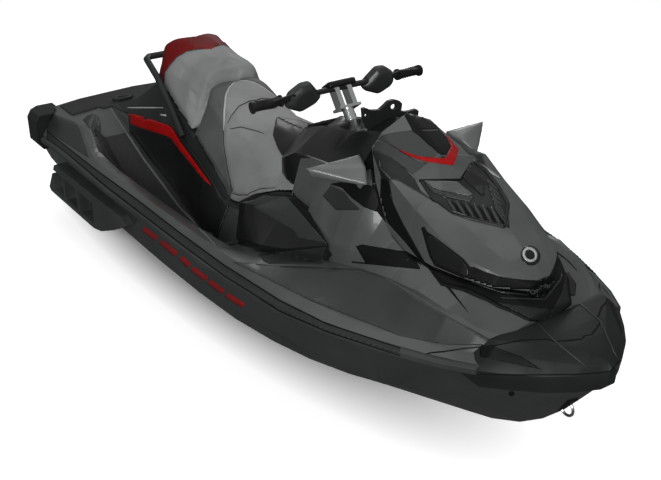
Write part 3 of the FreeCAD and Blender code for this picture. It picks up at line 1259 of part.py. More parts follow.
def make_gauge():
    """Display housing between the screen and the bars."""
    tilt = math.radians(D.gauge_tilt)
    up = Vector(-math.sin(tilt), 0, math.cos(tilt))
    ahead = Vector(math.cos(tilt), 0, math.sin(tilt))
    corner = Vector(D.gauge_station, -D.gauge_width / 2, D.gauge_level) - up * (D.gauge_height / 2)
    face = [corner, corner + Vector(0, D.gauge_width, 0), corner + Vector(0, D.gauge_width * 0.9, 0) + up * D.gauge_height,
            corner + Vector(0, D.gauge_width * 0.1, 0) + up * D.gauge_height]
    case = prism(face, ahead * D.gauge_depth)
    foot = block((D.gauge_station + D.gauge_depth * 0.2, -D.gauge_width / 6, spot(0, 0, 0.88).z),
                 (D.gauge_station + D.gauge_depth * 1.4, D.gauge_width / 6, D.gauge_level))
    housing = case.fuse(foot).cut([piece_shape("cowl"), CONSOLE, hood_form(D.moving_gap, D.moving_gap)])
    keep("gauge", housing.removeSplitter())


make_gauge()


def make_mirrors():
    """Mirror pods on the body shoulders, each with a short stem."""
    cowl = piece_shape("cowl")
    for name, side in SIDES.items():
        tip, crown, brow, front, heel, toe = [spot(*MIRROR_SHARES[key], side)
                                              for key in ("tip", "crown", "brow", "front", "heel", "toe")]
        faces = [ring(p) for p in ((tip, crown, brow), (tip, brow, front), (tip, front, toe), (toe, front, heel),
                                   (heel, front, brow), (heel, brow, crown), (tip, toe, heel), (tip, heel, crown))]
        pod = Part.Solid(Part.Shell([Part.Face(f) for f in faces]))
        if pod.Volume < 0:
            pod.reverse()
        stem_top = (heel + front) * 0.5
        stem = Part.makeCylinder(D.mirror_stem / 2, 3 * D.mirror_stem, stem_top + Vector(0, 0, D.mirror_stem / 3),
                                 Vector(0, -side * 0.2, -1))
        keep("mirror_" + name, pod.fuse(stem).cut([cowl, CONSOLE]).removeSplitter())


make_mirrors()


def make_grab_handle():
    """Moulded grab handle round the back of the passenger seat."""
    points = []
    for x, y, z in HANDLE_SHARES:
        points.append(spot(x, y, z))
    rear_x = points[-1].x - D.handle_diameter
    side_end = Vector(rear_x, D.handle_rear_half, points[-1].z)
    path = points + [side_end, Vector(side_end.x, -side_end.y, side_end.z)]
    path += [Vector(p.x, -p.y, p.z) for p in reversed(points)]
    keep("grab_handle", rod(path, D.handle_diameter).cut([PEDESTAL]).removeSplitter())


make_grab_handle()


def make_fittings():
    """Tow ring at the stern, bow eye and the two cargo anchors."""
    tow_z = spot(0, 0, 0.36).z
    plate = block((-D.hook_plate_thickness, -D.hook_plate / 2, tow_z),
                  (0, D.hook_plate / 2, tow_z + D.hook_plate * 0.6))
    loop = faceted_ring(Vector(-D.hook_plate_thickness, 0, tow_z + D.hook_plate * 0.3), D.hook_loop, D.hook_rod,
                        Vector(0, 0, 1))
    behind = block((-D.hull_length, -D.half_beam, 0), (-D.hook_plate_thickness / 2, D.half_beam, D.body_height))
    keep("tow_hook", plate.fuse(loop.common(behind)).removeSplitter())
    eye = faceted_ring(Vector(D.eye_station, 0, D.eye_height), D.eye_loop, D.eye_rod, Vector(0, 1, 0))
    keep("bow_eye", eye.cut(hull_form(0.9, 1)).removeSplitter())
    half_l, half_w = D.cleat_length / 2, D.cleat_width / 2
    chamfer = D.cleat_width / 3
    under = [deck_form(0, 0.14), piece_shape("rear_mat")]
    for name, side in SIDES.items():
        seat = spot(*CLEAT_SHARES, side)
        outline = [(half_w, half_l - chamfer), (half_w - chamfer, half_l), (chamfer - half_w, half_l),
                   (-half_w, half_l - chamfer)]
        outline += [(x, -y) for x, y in reversed(outline)]
        base = seat - Vector(0, 0, D.cleat_height)
        form = prism([base + Vector(x, y, 0) for x, y in outline], Vector(0, 0, 3 * D.cleat_height))
        slot = block((seat.x - D.cleat_slot / 2, seat.y - half_l / 2, seat.z + D.cleat_height),
                     (seat.x + D.cleat_slot / 2, seat.y + half_l / 2, seat.z + 3 * D.cleat_height))
        anchor = form.cut([slot] + under).removeSplitter()
        keep("cargo_cleat_" + name, max(anchor.Solids, key=lambda solid: solid.Volume))


make_fittings()


def write_parts():
    """Checks every object, then writes one file for each piece."""
    DOC.recompute()
    for item in DOC.Objects:
        bad = {"Invalid", "Error"} & set(item.State)
        if bad:
            raise RuntimeError(f"{item.Label} is {bad}")
    os.makedirs("parts", exist_ok=True)
    for item in NODES:
        shape = item.Shape
        if shape.isNull() or not shape.isValid() or shape.Volume <= 0:
            raise RuntimeError(f"{item.Label} has no valid solid")
        shape.exportStep(f"parts/{item.Label}.step")
        box = shape.BoundBox
        print(f"{item.Label:24s} solids {len(shape.Solids)} faces {len(shape.Faces):3d} "
              f"volume {shape.Volume / 1e6:9.3f} L  x {box.XMin:8.1f} {box.XMax:8.1f} "
              f"y {box.YMin:7.1f} {box.YMax:7.1f} z {box.ZMin:7.1f} {box.ZMax:7.1f}")


write_parts()
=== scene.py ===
"""Looks of a personal watercraft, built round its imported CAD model.

Every length is in metres in the row frame: +X forward to the bow, +Y to port, +Z up from the waterplane.
Outlines are traced in pixels of the 661 by 480 photograph and laid on the pieces that carry them.
"""
import json
import logging
import math
from dataclasses import dataclass, replace
from enum import Enum
from functools import partial

import bmesh
import bpy
from bmesh.types import BMesh, BMFace, BMVert
from mathutils import Euler, Matrix, Vector
from mathutils.bvhtree import BVHTree
from mathutils.kdtree import KDTree

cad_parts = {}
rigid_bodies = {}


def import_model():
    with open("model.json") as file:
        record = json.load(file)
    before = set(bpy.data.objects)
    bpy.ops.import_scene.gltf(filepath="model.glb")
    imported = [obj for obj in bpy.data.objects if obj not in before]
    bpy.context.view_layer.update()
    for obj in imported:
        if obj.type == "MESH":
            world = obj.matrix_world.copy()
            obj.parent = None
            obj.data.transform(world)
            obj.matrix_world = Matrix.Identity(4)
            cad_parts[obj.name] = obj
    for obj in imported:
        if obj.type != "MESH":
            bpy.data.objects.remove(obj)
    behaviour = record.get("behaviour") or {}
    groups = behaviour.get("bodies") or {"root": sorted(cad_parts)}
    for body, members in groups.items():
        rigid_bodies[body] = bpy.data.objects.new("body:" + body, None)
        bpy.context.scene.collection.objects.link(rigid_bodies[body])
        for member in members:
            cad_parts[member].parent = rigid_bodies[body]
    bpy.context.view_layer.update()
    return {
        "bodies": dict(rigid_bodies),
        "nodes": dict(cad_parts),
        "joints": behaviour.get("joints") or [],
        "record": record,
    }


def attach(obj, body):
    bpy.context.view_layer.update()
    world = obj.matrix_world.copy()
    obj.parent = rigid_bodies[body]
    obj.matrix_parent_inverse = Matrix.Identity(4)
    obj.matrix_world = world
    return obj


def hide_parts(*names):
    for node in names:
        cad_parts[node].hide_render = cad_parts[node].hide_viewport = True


LOG = logging.getLogger("watercraft")
KEEL_HEIGHT = -0.270
MERGE_DISTANCE = 2e-5
CUT_DISTANCE = 1e-5
MILLIMETRE = 0.001
# Soft patches of colour and gloss, a sixth of a metre wide
PATCH_SCALE = 6.0
ROUGHNESS_SPREAD = 0.12
COAT_ROUGHNESS = 0.05
BUMP_STRENGTH = 0.6
# Reliefs: steepness of a leather crease, length of a brush mark, and wave bands in one rib
CREASE_STEEPNESS = 4.0
BRUSH_STRETCH = 0.04
BAND_SHARE = 6.2
MIDSHIP = Vector((0, 1, 0))
MIRROR_IMAGE = Vector((1, -1, 1))
WHITE = (1.0, 1.0, 1.0, 1.0)
Pixel = tuple[float, float]
Outline = tuple[Pixel, ...]


def linear(code: str) -> tuple[float, float, float, float]:
    """Turns an sRGB hex code into a linear colour with full alpha."""
    values = [int(code[i:i + 2], 16) / 255 for i in (1, 3, 5)]
    return (*[v / 12.92 if v <= 0.04045 else ((v + 0.055) / 1.055) ** 2.4 for v in values], 1.0)


def add_node(tree: bpy.types.NodeTree, kind: str, links: dict | None = None, **settings) -> bpy.types.Node:
    """Adds a shader node.

    Args:
        tree: Node tree that the node goes into.
        kind: Type name after "ShaderNode".
        links: Input name or index to a value, or to a (node, output) pair.
        settings: Properties of the node itself.

    Returns:
        The node.
    """
    node = tree.nodes.new("ShaderNode" + kind)
    for name, value in settings.items():
        setattr(node, name, value)
    for name, source in (links or {}).items():
        if isinstance(source, tuple) and isinstance(source[0], bpy.types.Node):
            tree.links.new(source[0].outputs[source[1]], node.inputs[name])
        else:
            node.inputs[name].default_value = source
    return node


def empty_tree(owner: bpy.types.Material | bpy.types.World) -> bpy.types.NodeTree:
    """Turns nodes on and returns the tree, emptied."""
    owner.use_nodes = True
    owner.node_tree.nodes.clear()
    return owner.node_tree


def put(name: str, data: bpy.types.ID) -> bpy.types.Object:
    """Puts a new object with some data into the scene and returns it."""
    item = bpy.data.objects.new(name, data)
    bpy.context.scene.collection.objects.link(item)
    return item


def store(name: str, mesh: BMesh) -> bpy.types.Mesh:
    """Returns a bmesh as a mesh of its own and frees the bmesh."""
    data = bpy.data.meshes.new(name)
    mesh.to_mesh(data)
    mesh.free()
    return data


def whole(mesh: BMesh) -> list:
    """Returns every vertex, edge and face of a mesh."""
    return mesh.verts[:] + mesh.edges[:] + mesh.faces[:]


def only(kind: type, parts: list) -> list:
    """Returns the parts of one kind."""
    return [part for part in parts if isinstance(part, kind)]


def thicken(mesh: BMesh, offset: Vector) -> None:
    """Turns a flat sheet into a closed plate whose second face is set off from the first."""
    moved = bmesh.ops.extrude_face_region(mesh, geom=mesh.faces[:], use_keep_orig=True)["geom"]
    bmesh.ops.translate(mesh, vec=offset, verts=only(BMVert, moved))
    bmesh.ops.recalc_face_normals(mesh, faces=mesh.faces[:])


class Pattern(Enum):
    """Relief that a moulded surface carries."""

    SMOOTH = "smooth"
    FINE_GRAIN = "fine grain"
    LEATHER = "leather"
    CHEVRON = "chevron"
    CAST = "cast"
    BRUSHED = "brushed"


@dataclass(frozen=True)
class Finish:
    """A real finish: its colours, gloss and relief.

    Attributes:
        name: Material name.
        dark: Hex colour in hollows or darker patches.
        light: Hex colour of the open surface.
        roughness: Mean roughness.
        metallic: 1 for bare metal.
        coat: Clear coat weight.
        pattern: Relief of the surface.
        pitch_mm: Size of one grain or rib in millimetres.
        depth_mm: Depth of the relief in millimetres.
        ior: Refractive index of the surface.
        specular: Strength of the mirror reflection.
    """

    name: str
    dark: str
    light: str
    roughness: float
    metallic: float = 0.0
    coat: float = 0.0
    pattern: Pattern = Pattern.SMOOTH
    pitch_mm: float = 2.0
    depth_mm: float = 0.1
    ior: float = 1.5
    specular: float = 0.5

    def tinted(self, name: str, dark: str, light: str, **changes: float) -> "Finish":
        """Returns the same surface in other colours, with whatever else differs."""
        return replace(self, name=name, dark=dark, light=light, **changes)

    def height(self, tree: bpy.types.NodeTree, place: bpy.types.Node) -> tuple[bpy.types.Node, int]:
        """Adds the relief pattern and returns its height output."""
        node = partial(add_node, tree)
        scale = 1 / (self.pitch_mm * MILLIMETRE)
        if self.pattern is Pattern.LEATHER:
            cells = node("TexVoronoi", {"Vector": (place, 3), "Scale": scale, "Randomness": 0.9},
                         feature="DISTANCE_TO_EDGE")
            steep = {0: (cells, 0), 1: CREASE_STEEPNESS}
            return node("Math", steep, operation="MULTIPLY", use_clamp=True), 0
        if self.pattern is Pattern.BRUSHED:
            drawn = (scale, scale, scale * BRUSH_STRETCH)
            stretch = node("Mapping", {"Vector": (place, 3), "Scale": drawn})
            return node("TexNoise", {"Vector": (stretch, 0), "Scale": 1.0, "Detail": 2.0}), 0
        if self.pattern is Pattern.CHEVRON:
            bands = {"Vector": (place, 3), "Scale": scale / BAND_SHARE, "Distortion": 0.0}
            return node("TexWave", bands, wave_type="BANDS", bands_direction="DIAGONAL"), 1
        detail = 3.0 if self.pattern is Pattern.CAST else 1.0
        return node("TexNoise", {"Vector": (place, 3), "Scale": scale, "Detail": detail}), 0

    def make(self) -> bpy.types.Material:
        """Builds the material."""
        material = bpy.data.materials.new(self.name)
        tree = empty_tree(material)
        node = partial(add_node, tree)
        place = node("TexCoord")
        patches = node("TexNoise", {"Vector": (place, 3), "Scale": PATCH_SCALE, "Detail": 4.0})
        blend = node("MapRange", {0: (patches, 0), 1: 0.35, 2: 0.65})
        colour = node("Mix", {0: (blend, 0), 6: linear(self.dark), 7: linear(self.light)}, data_type="RGBA")
        rough = node("MapRange", {0: (patches, 0), 1: 0.3, 2: 0.7,
                                  3: self.roughness * (1 - ROUGHNESS_SPREAD),
                                  4: min(1.0, self.roughness * (1 + ROUGHNESS_SPREAD))})
        shader = node("BsdfPrincipled", {
            "Base Color": (colour, 2), "Roughness": (rough, 0), "Metallic": self.metallic, "IOR": self.ior,
            "Coat Weight": self.coat, "Coat Roughness": COAT_ROUGHNESS, "Specular IOR Level": self.specular})
        if self.pattern is not Pattern.SMOOTH:
            source, output = self.height(tree, place)
            bump = node("Bump", {"Height": (source, output), "Strength": BUMP_STRENGTH,
                                 "Distance": self.depth_mm * MILLIMETRE})
            tree.links.new(bump.outputs[0], shader.inputs["Normal"])
        out = node("OutputMaterial")
        tree.links.new(shader.outputs[0], out.inputs[0])
        return material


# Deck gelcoat: satin metallic grey, sprayed in the mould, with a fine orange peel under its clear layer
DECK_GREY = Finish("gelcoat_metallic_grey", "#414343", "#4a4c4c", 0.36, coat=0.15,
    pattern=Pattern.FINE_GRAIN, pitch_mm=1.2, depth_mm=0.02, ior=1.45)
# Inner slope of the deck: painted shade, the same gelcoat made darker where the slope turns away from the
# light
DECK_SHADE = DECK_GREY.tinted("gelcoat_painted_shade", "#2c2e2e", "#343636", coat=0.2)
# Top mouldings: painted light, the same gelcoat one shade lighter, as it looks lit on the hood and shoulders
HOOD_GREY = DECK_GREY.tinted("gelcoat_grey_painted_light", "#484a4a", "#515353", roughness=0.34, coat=0.2)
# Slope of the hood below the screen, and its flank: painted shade, the same gelcoat darker where the surface
# turns away from the light
SLOPE_GREY = DECK_GREY.tinted("gelcoat_slope_painted_shade", "#2b2d2d", "#323434", roughness=0.42, coat=0.1, ior=1.4)
FLANK_GREY = Finish("gelcoat_flank_painted_shade", "#191a1a", "#1f2121", 0.45, coat=0.05, ior=1.4, specular=0.3)
# Pits and recesses: matt black that hardly shines, partly real black moulding and partly painted shade, as
# in the hood's cheek gap and on the screen's top
PIT_AND_SHADE_BLACK = Finish("abs_pit_black_and_painted_shade", "#0c0d0d", "#121313", 0.5, ior=1.35, specular=0.2)
# Hull gelcoat: charcoal with a soft, dull sheen
HULL_DARK = Finish("gelcoat_charcoal", "#2e3030", "#363838", 0.42, coat=0.1, ior=1.4)
# Gloss ABS: polished mould, black with a clear highlight
GLOSS_BLACK = Finish("abs_gloss_black", "#171818", "#1d1e1e", 0.24, coat=0.1, ior=1.4, specular=0.3)
INSERT_BLACK = GLOSS_BLACK.tinted("abs_satin_black", "#121313", "#181919", roughness=0.34)
# Painted light and shade: a gloss grey half way between grey and black, laid as sheen on black ribs, fins
# and facets and as shade on grey sides and recesses
SHEEN_AND_SHADE_GREY = GLOSS_BLACK.tinted("painted_sheen_and_shade_grey", "#272929", "#2e3030", roughness=0.3, specular=0.4)
# Grained ABS: fine spark-eroded texture, dull
BLACK_ABS = Finish("abs_grained_black", "#1f2121", "#272929", 0.5, pattern=Pattern.FINE_GRAIN, pitch_mm=1.0,
    depth_mm=0.08, ior=1.4, specular=0.4)
# Pods on the handlebar: the same ABS, polished by hands and spray
POD_BLACK = Finish("abs_pod_black", "#2b2d2d", "#343636", 0.3, ior=1.4, specular=0.5)
# Bumper: blow-moulded polyethylene, a shade greyer than the ABS where it has been rubbed
BUMPER_BLACK = Finish("polyethylene_bumper", "#1c1e1e", "#232525", 0.48, pattern=Pattern.FINE_GRAIN,
    pitch_mm=1.6, depth_mm=0.06, ior=1.4, specular=0.25)
PLATE_GREY = Finish("abs_plate_grey", "#414343", "#4d4f4f", 0.38, ior=1.45)
RAIL_RUBBER = Finish("vinyl_rail_grey", "#303232", "#3a3c3c", 0.5, pattern=Pattern.FINE_GRAIN, pitch_mm=1.5,
    depth_mm=0.05, ior=1.4)
# Shut lines: the deep shade between two mouldings
SHUT_LINE = Finish("shut_line_black", "#050505", "#090909", 0.8, ior=1.3)
CREASE_GREY = Finish("gelcoat_crease_shade", "#2a2c2c", "#323434", 0.4, ior=1.4)
# Painted highlight: pale grey along edges that catch the light, such as the hood's far edge; the badge's
# pale ring uses it too
EDGE_LIGHT = Finish("pale_ring_and_painted_highlight", "#a3a5a5", "#b6b8b8", 0.3, coat=0.2)
# Rail in its moulded groove: the same vinyl, in shade
RAIL_SHADE = RAIL_RUBBER.tinted("vinyl_rail_shade", "#252727", "#2d2f2f", specular=0.3)
# Foot mats: closed-cell foam, cut with a chevron that grips bare feet
MAT_FOAM = Finish("eva_foam_mat", "#282929", "#333434", 0.8, pattern=Pattern.CHEVRON, pitch_mm=9.0,
    depth_mm=1.2, ior=1.35)
MAT_BORDER = Finish("eva_foam_border", "#505252", "#616363", 0.75, pattern=Pattern.FINE_GRAIN, pitch_mm=2.0,
    depth_mm=0.3)
# Seat vinyl: pebbled leather grain with a dull plastic sheen
SEAT_GREY = Finish("vinyl_light_grey", "#7d7e7e", "#8b8c8c", 0.55, pattern=Pattern.LEATHER, pitch_mm=3.0,
    depth_mm=0.25, ior=1.4)
SEAT_SIDE = SEAT_GREY.tinted("vinyl_mid_grey", "#4b4c4c", "#585959")
SEAT_RED = SEAT_GREY.tinted("vinyl_dark_red", "#5f0d0e", "#761415", specular=0.15)
# Piping: the bead that edges the top pad, laid light grey as a painted highlight along its lit crest
PIPING_HIGHLIGHT = SEAT_GREY.tinted("vinyl_piping_painted_highlight", "#a6a7a7", "#b4b5b5", roughness=0.5, depth_mm=0.1)
SEAM_THREAD = Finish("polyester_thread_dark", "#2b2c2c", "#363737", 0.8, pattern=Pattern.BRUSHED,
    pitch_mm=1.5, depth_mm=0.3)
DECAL_RED = Finish("vinyl_film_red", "#9c0c0d", "#ab0f10", 0.4, ior=1.4, specular=0.15)
HULL_RED = DECAL_RED.tinted("vinyl_film_deep_red", "#861314", "#941718", specular=0.2)
CAST_ALLOY = Finish("cast_aluminium", "#8d8f91", "#a4a6a8", 0.42, metallic=1.0, pattern=Pattern.CAST,
    pitch_mm=4.0, depth_mm=0.15)
POLISHED_ALLOY = Finish("polished_aluminium", "#c9cbcc", "#dcdddd", 0.14, metallic=1.0,
    pattern=Pattern.BRUSHED, pitch_mm=0.8, depth_mm=0.01)
STAINLESS = Finish("brushed_stainless", "#a6a8a9", "#c0c2c3", 0.28, metallic=1.0, pattern=Pattern.BRUSHED,
    pitch_mm=0.8, depth_mm=0.02)
BAR_PAINT = Finish("powder_coat_black", "#1b1c1c", "#232424", 0.38, pattern=Pattern.FINE_GRAIN,
    pitch_mm=0.8, depth_mm=0.03, ior=1.4)
GRIP_RUBBER = Finish("grip_rubber", "#101111", "#171818", 0.7, pattern=Pattern.FINE_GRAIN, pitch_mm=2.0,
    depth_mm=0.3, ior=1.4)
MIRROR_GREY = Finish("abs_painted_grey", "#606262", "#6d6f6f", 0.34, coat=0.2, ior=1.45)

SLOT_FINISHES: dict[str, Finish] = {
    "hull_dark": HULL_DARK, "deck_grey": DECK_GREY, "gloss_black": GLOSS_BLACK, "black_plastic": BLACK_ABS,
    "rail_rubber": RAIL_RUBBER, "mat_rubber": MAT_FOAM, "seat_grey": SEAT_GREY, "seat_red": SEAT_RED,
    "alloy": CAST_ALLOY, "bucket_plastic": BLACK_ABS, "polished": POLISHED_ALLOY, "bar_black": BAR_PAINT,
    "grip_rubber": GRIP_RUBBER, "stainless": STAINLESS,
}


@dataclass(frozen=True)
class Sight:
    """The photograph's viewpoint, which turns a pixel into a line of sight."""

    place: tuple[float, float, float] = (3.357, -2.168, 2.046)
    yaw: float = 2.533
    pitch: float = -0.470
    focal_px: float = 1040.0
    centre: Pixel = (330.5, 240.0)

    def ahead(self) -> Vector:
        """Returns the direction in which the camera looks."""
        flat = math.cos(self.pitch)
        return Vector((flat * math.cos(self.yaw), flat * math.sin(self.yaw), math.sin(self.pitch)))

    def line(self, across: float, down: float) -> Vector:
        """Returns the direction of the line of sight through a pixel."""
        ahead = self.ahead()
        right = Vector((math.sin(self.yaw), -math.cos(self.yaw), 0))
        above = right.cross(ahead)
        turn = right * (across - self.centre[0]) - above * (down - self.centre[1])
        return (ahead + turn / self.focal_px).normalized()

    def pixel(self, point: Vector) -> Pixel:
        """Returns the pixel at which a point is seen."""
        ahead = self.ahead()
        right = Vector((math.sin(self.yaw), -math.cos(self.yaw), 0))
        offset = point - Vector(self.place)
        depth = offset.dot(ahead)
        return (self.centre[0] + self.focal_px * offset.dot(right) / depth,
                self.centre[1] - self.focal_px * offset.dot(right.cross(ahead)) / depth)


class Skin:
    """Outer surface of some meshes, for lines of sight to land on."""

    def __init__(self, meshes: list[bpy.types.Mesh]) -> None:
        """Gathers the faces of the meshes.

        Args:
            meshes: Meshes in the row frame.
        """
        points: list[Vector] = []
        faces: list[list[int]] = []
        for data in meshes:
            base = len(points)
            points += [vert.co.copy() for vert in data.vertices]
            faces += [[base + index for index in face.vertices] for face in data.polygons]
        self.tree = BVHTree.FromPolygons(points, faces)

    def land(self, start: Vector, direction: Vector) -> tuple[Vector, Vector] | None:
        """Returns where a line first meets the surface and the normal there, or None."""
        place, normal, _, _ = self.tree.ray_cast(start, direction)
        if place is None:
            return None
        return place, normal if normal.dot(direction) < 0 else -normal


@dataclass(frozen=True)
class Trace:
    """Outline or line traced in photograph pixels, and the thin piece it becomes.

    Attributes:
        name: Piece name.
        points: Pixels of the outline, or of the middle of a strip.
        carriers: CAD nodes that it lies on.
        finish: What it is made of.
        lift_mm: How far its face stands over the carrier.
        width_px: Width of a strip, or 0 for a closed outline.
        both: Whether its mirror image is on the other side.
        taper: Share of the width left at a strip's two ends.
        slot: Material slot of the record.
        body: Body that it rides on.
    """

    name: str
    points: Outline
    carriers: tuple[str, ...]
    finish: Finish
    lift_mm: float
    width_px: float = 0.0
    both: bool = True
    taper: float = 1.0
    slot: str = "gloss_black"
    body: str = "craft"


class Workshop:
    """Shares the frame, finishes and viewpoint between the makers, and finishes their pieces."""

    grid_px: float = 2.0
    lid_step_px: float = 4.0
    longest_edge: float = 0.11
    plate_depth: float = 0.0025
    flat_angle: float = 0.6
    bevel_angle: float = 28.0
    trace_crease: float = 40.0
    soft_crease: float = 180.0

    def __init__(self, frame: dict, sight: Sight) -> None:
        """Keeps the frame and starts with no material made.

        Args:
            sight: The photograph's viewpoint.
        """
        self.nodes: dict[str, bpy.types.Object] = frame["nodes"]
        self.record: dict = frame["record"]
        self.sight = sight
        self.materials: dict[str, bpy.types.Material] = {}
        self.skins: dict[tuple[str, ...], Skin] = {}

    def material(self, finish: Finish) -> bpy.types.Material:
        """Returns the material of a finish, made once."""
        if finish.name not in self.materials:
            self.materials[finish.name] = finish.make()
        return self.materials[finish.name]

    def dress_nodes(self) -> None:
        """Gives every CAD node the finish of its slot."""
        for entry in self.record["subparts"]:
            item = self.nodes[entry["node"]]
            item.data.materials.clear()
            item.data.materials.append(self.material(SLOT_FINISHES[entry["material_slot"]]))

    def skin(self, carriers: tuple[str, ...]) -> Skin:
        """Returns the joined surface of some CAD nodes."""
        if carriers not in self.skins:
            self.skins[carriers] = Skin([self.nodes[name].data for name in carriers])
        return self.skins[carriers]

    def merged(self, node: str) -> BMesh:
        """Returns a copy of a CAD node's mesh with its loose triangles joined and flat areas dissolved."""
        mesh = bmesh.new()
        mesh.from_mesh(self.nodes[node].data)
        bmesh.ops.remove_doubles(mesh, verts=mesh.verts[:], dist=MERGE_DISTANCE)
        bmesh.ops.dissolve_limit(mesh, angle_limit=math.radians(self.flat_angle), verts=mesh.verts[:],
                                 edges=mesh.edges[:])
        return mesh

    def add(self, name: str, mesh: BMesh, finish: Finish, slot: str, body: str = "craft",
            crease: float = 32.0) -> bpy.types.Object:
        """Turns a bmesh into a piece that rides on a body.

        Args:
            name: Piece name.
            mesh: Its mesh in the row frame, which is freed.
            finish: What it is made of.
            slot: Material slot of the record; not used.
            body: Body that it rides on.
            crease: Angle in degrees past which an edge stays sharp.

        Returns:
            The piece.
        """
        for face in mesh.faces:
            face.smooth = True
        data = store(name, mesh)
        data.set_sharp_from_angle(angle=math.radians(crease))
        data.materials.append(self.material(finish))
        item = put(name, data)
        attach(item, body)
        LOG.info("%s: %d faces", name, len(data.polygons))
        return item

    def soften(self, item: bpy.types.Object, width_mm: float) -> None:
        """Rounds a piece's sharp edges with a live bevel."""
        bevel = item.modifiers.new("moulded_edges", "BEVEL")
        bevel.width = width_mm * MILLIMETRE
        bevel.segments = 2
        bevel.limit_method = "ANGLE"
        bevel.angle_limit = math.radians(self.bevel_angle)
        bevel.use_clamp_overlap = True
        bevel.harden_normals = True

    def shell(self, node: str, finish: Finish, slot: str, body: str, width_mm: float) -> None:
        """Makes the smooth, round-edged form of a rigid CAD node and lets it stand for the node."""
        item = self.add(node + "_form", self.merged(node), finish, slot, body)
        self.soften(item, width_mm)
        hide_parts(node)

    def even_mesh(self, node: str, voxel: float, rounds: int, shrink: float) -> BMesh:
        """Returns a CAD node's form as an even mesh with rounded corners.

        Args:
            node: CAD node.
            voxel: Size of a cell in metres.
            rounds: Times that the mesh is smoothed.
            shrink: How far its face is drawn in, in metres.

        Returns:
            The mesh.
        """
        item = put(node + "_rough", store(node + "_rough", self.merged(node)))
        remesh = item.modifiers.new("even", "REMESH")
        remesh.mode = "VOXEL"
        remesh.voxel_size = voxel
        mesh = bmesh.new()
        mesh.from_object(item, bpy.context.evaluated_depsgraph_get())
        bpy.data.objects.remove(item)
        for _ in range(rounds):
            bmesh.ops.smooth_vert(mesh, verts=mesh.verts[:], factor=0.5, use_axis_x=True, use_axis_y=True,
                                  use_axis_z=True)
        mesh.normal_update()
        for vert in mesh.verts:
            vert.co -= vert.normal * shrink
        return mesh

    def lay(self, mesh: BMesh, skin: Skin, lift: float) -> None:
        """Moves a flat mesh in pixels on to the surface behind it, and drops what misses.

        Args:
            mesh: Mesh whose points are pixels, changed in place.
            skin: Surface that it lands on.
            lift: Distance over the surface in metres.
        """
        start = Vector(self.sight.place)
        lost = []
        for vert in mesh.verts:
            landed = skin.land(start, self.sight.line(vert.co.x, vert.co.y))
            if landed is None:
                lost.append(vert)
            else:
                vert.co = landed[0] + landed[1] * lift
        bmesh.ops.delete(mesh, geom=lost, context="VERTS")
        torn = [face for face in mesh.faces
                if max(edge.calc_length() for edge in face.edges) > self.longest_edge]
        bmesh.ops.delete(mesh, geom=torn, context="FACES")
        mesh.normal_update()
        facing = sum(face.normal.dot(start - face.calc_center_median()) * face.calc_area()
                     for face in mesh.faces)
        if facing < 0:
            bmesh.ops.reverse_faces(mesh, faces=mesh.faces[:])

    def lid(self, outline: Outline, carriers: tuple[str, ...]) -> Skin:
        """Returns the surface of some nodes with an opening in it closed.

        Args:
            outline: Pixels round the opening, just outside it.
            carriers: CAD nodes round it.

        Returns:
            The closed surface.
        """
        start = Vector(self.sight.place)
        mesh = bmesh.new()
        ring = []
        for pixel in even_steps(outline + outline[:1], self.lid_step_px)[:-1]:
            landed = self.skin(carriers).land(start, self.sight.line(pixel.x, pixel.y))
            if landed is not None:
                ring.append(mesh.verts.new(landed[0]))
        edges = [mesh.edges.new(pair) for pair in zip(ring, ring[1:] + ring[:1])]
        bmesh.ops.triangle_fill(mesh, use_beauty=True, edges=edges)
        return Skin([store("lid", mesh)] + [self.nodes[name].data for name in carriers])

    def plate_mesh(self, points: Outline) -> BMesh:
        """Returns a flat mesh in pixels of a closed outline, cut into small cells."""
        mesh = bmesh.new()
        mesh.faces.new([mesh.verts.new((x, y, 0)) for x, y in points])
        for axis in range(2):
            low = min(point[axis] for point in points)
            high = max(point[axis] for point in points)
            normal = Vector((1, 0, 0)) if axis == 0 else Vector((0, 1, 0))
            count = math.ceil((high - low) / self.grid_px)
            for index in range(1, count):
                bmesh.ops.bisect_plane(mesh, geom=whole(mesh), dist=CUT_DISTANCE, plane_no=normal,
                                       plane_co=normal * (low + index * (high - low) / count))
        return mesh

    def strip_mesh(self, trace: Trace) -> BMesh:
        """Returns a flat mesh in pixels of a strip along a line."""
        path = even_steps(trace.points, self.grid_px)
        mesh = bmesh.new()
        rungs = []
        for index, here in enumerate(path):
            ahead = path[min(index + 1, len(path) - 1)] - path[max(index - 1, 0)]
            share = min(index, len(path) - 1 - index) / max(1, len(path) / 2)
            half = trace.width_px / 2 * (trace.taper + (1 - trace.taper) * min(1.0, 2 * share))
            side = Vector((-ahead.y, ahead.x, 0)).normalized() * half
            rungs.append([mesh.verts.new(here + side * place) for place in (-1, 0, 1)])
        for first, second in zip(rungs, rungs[1:]):
            for index in range(2):
                mesh.faces.new((first[index], first[index + 1], second[index + 1], second[index]))
        return mesh

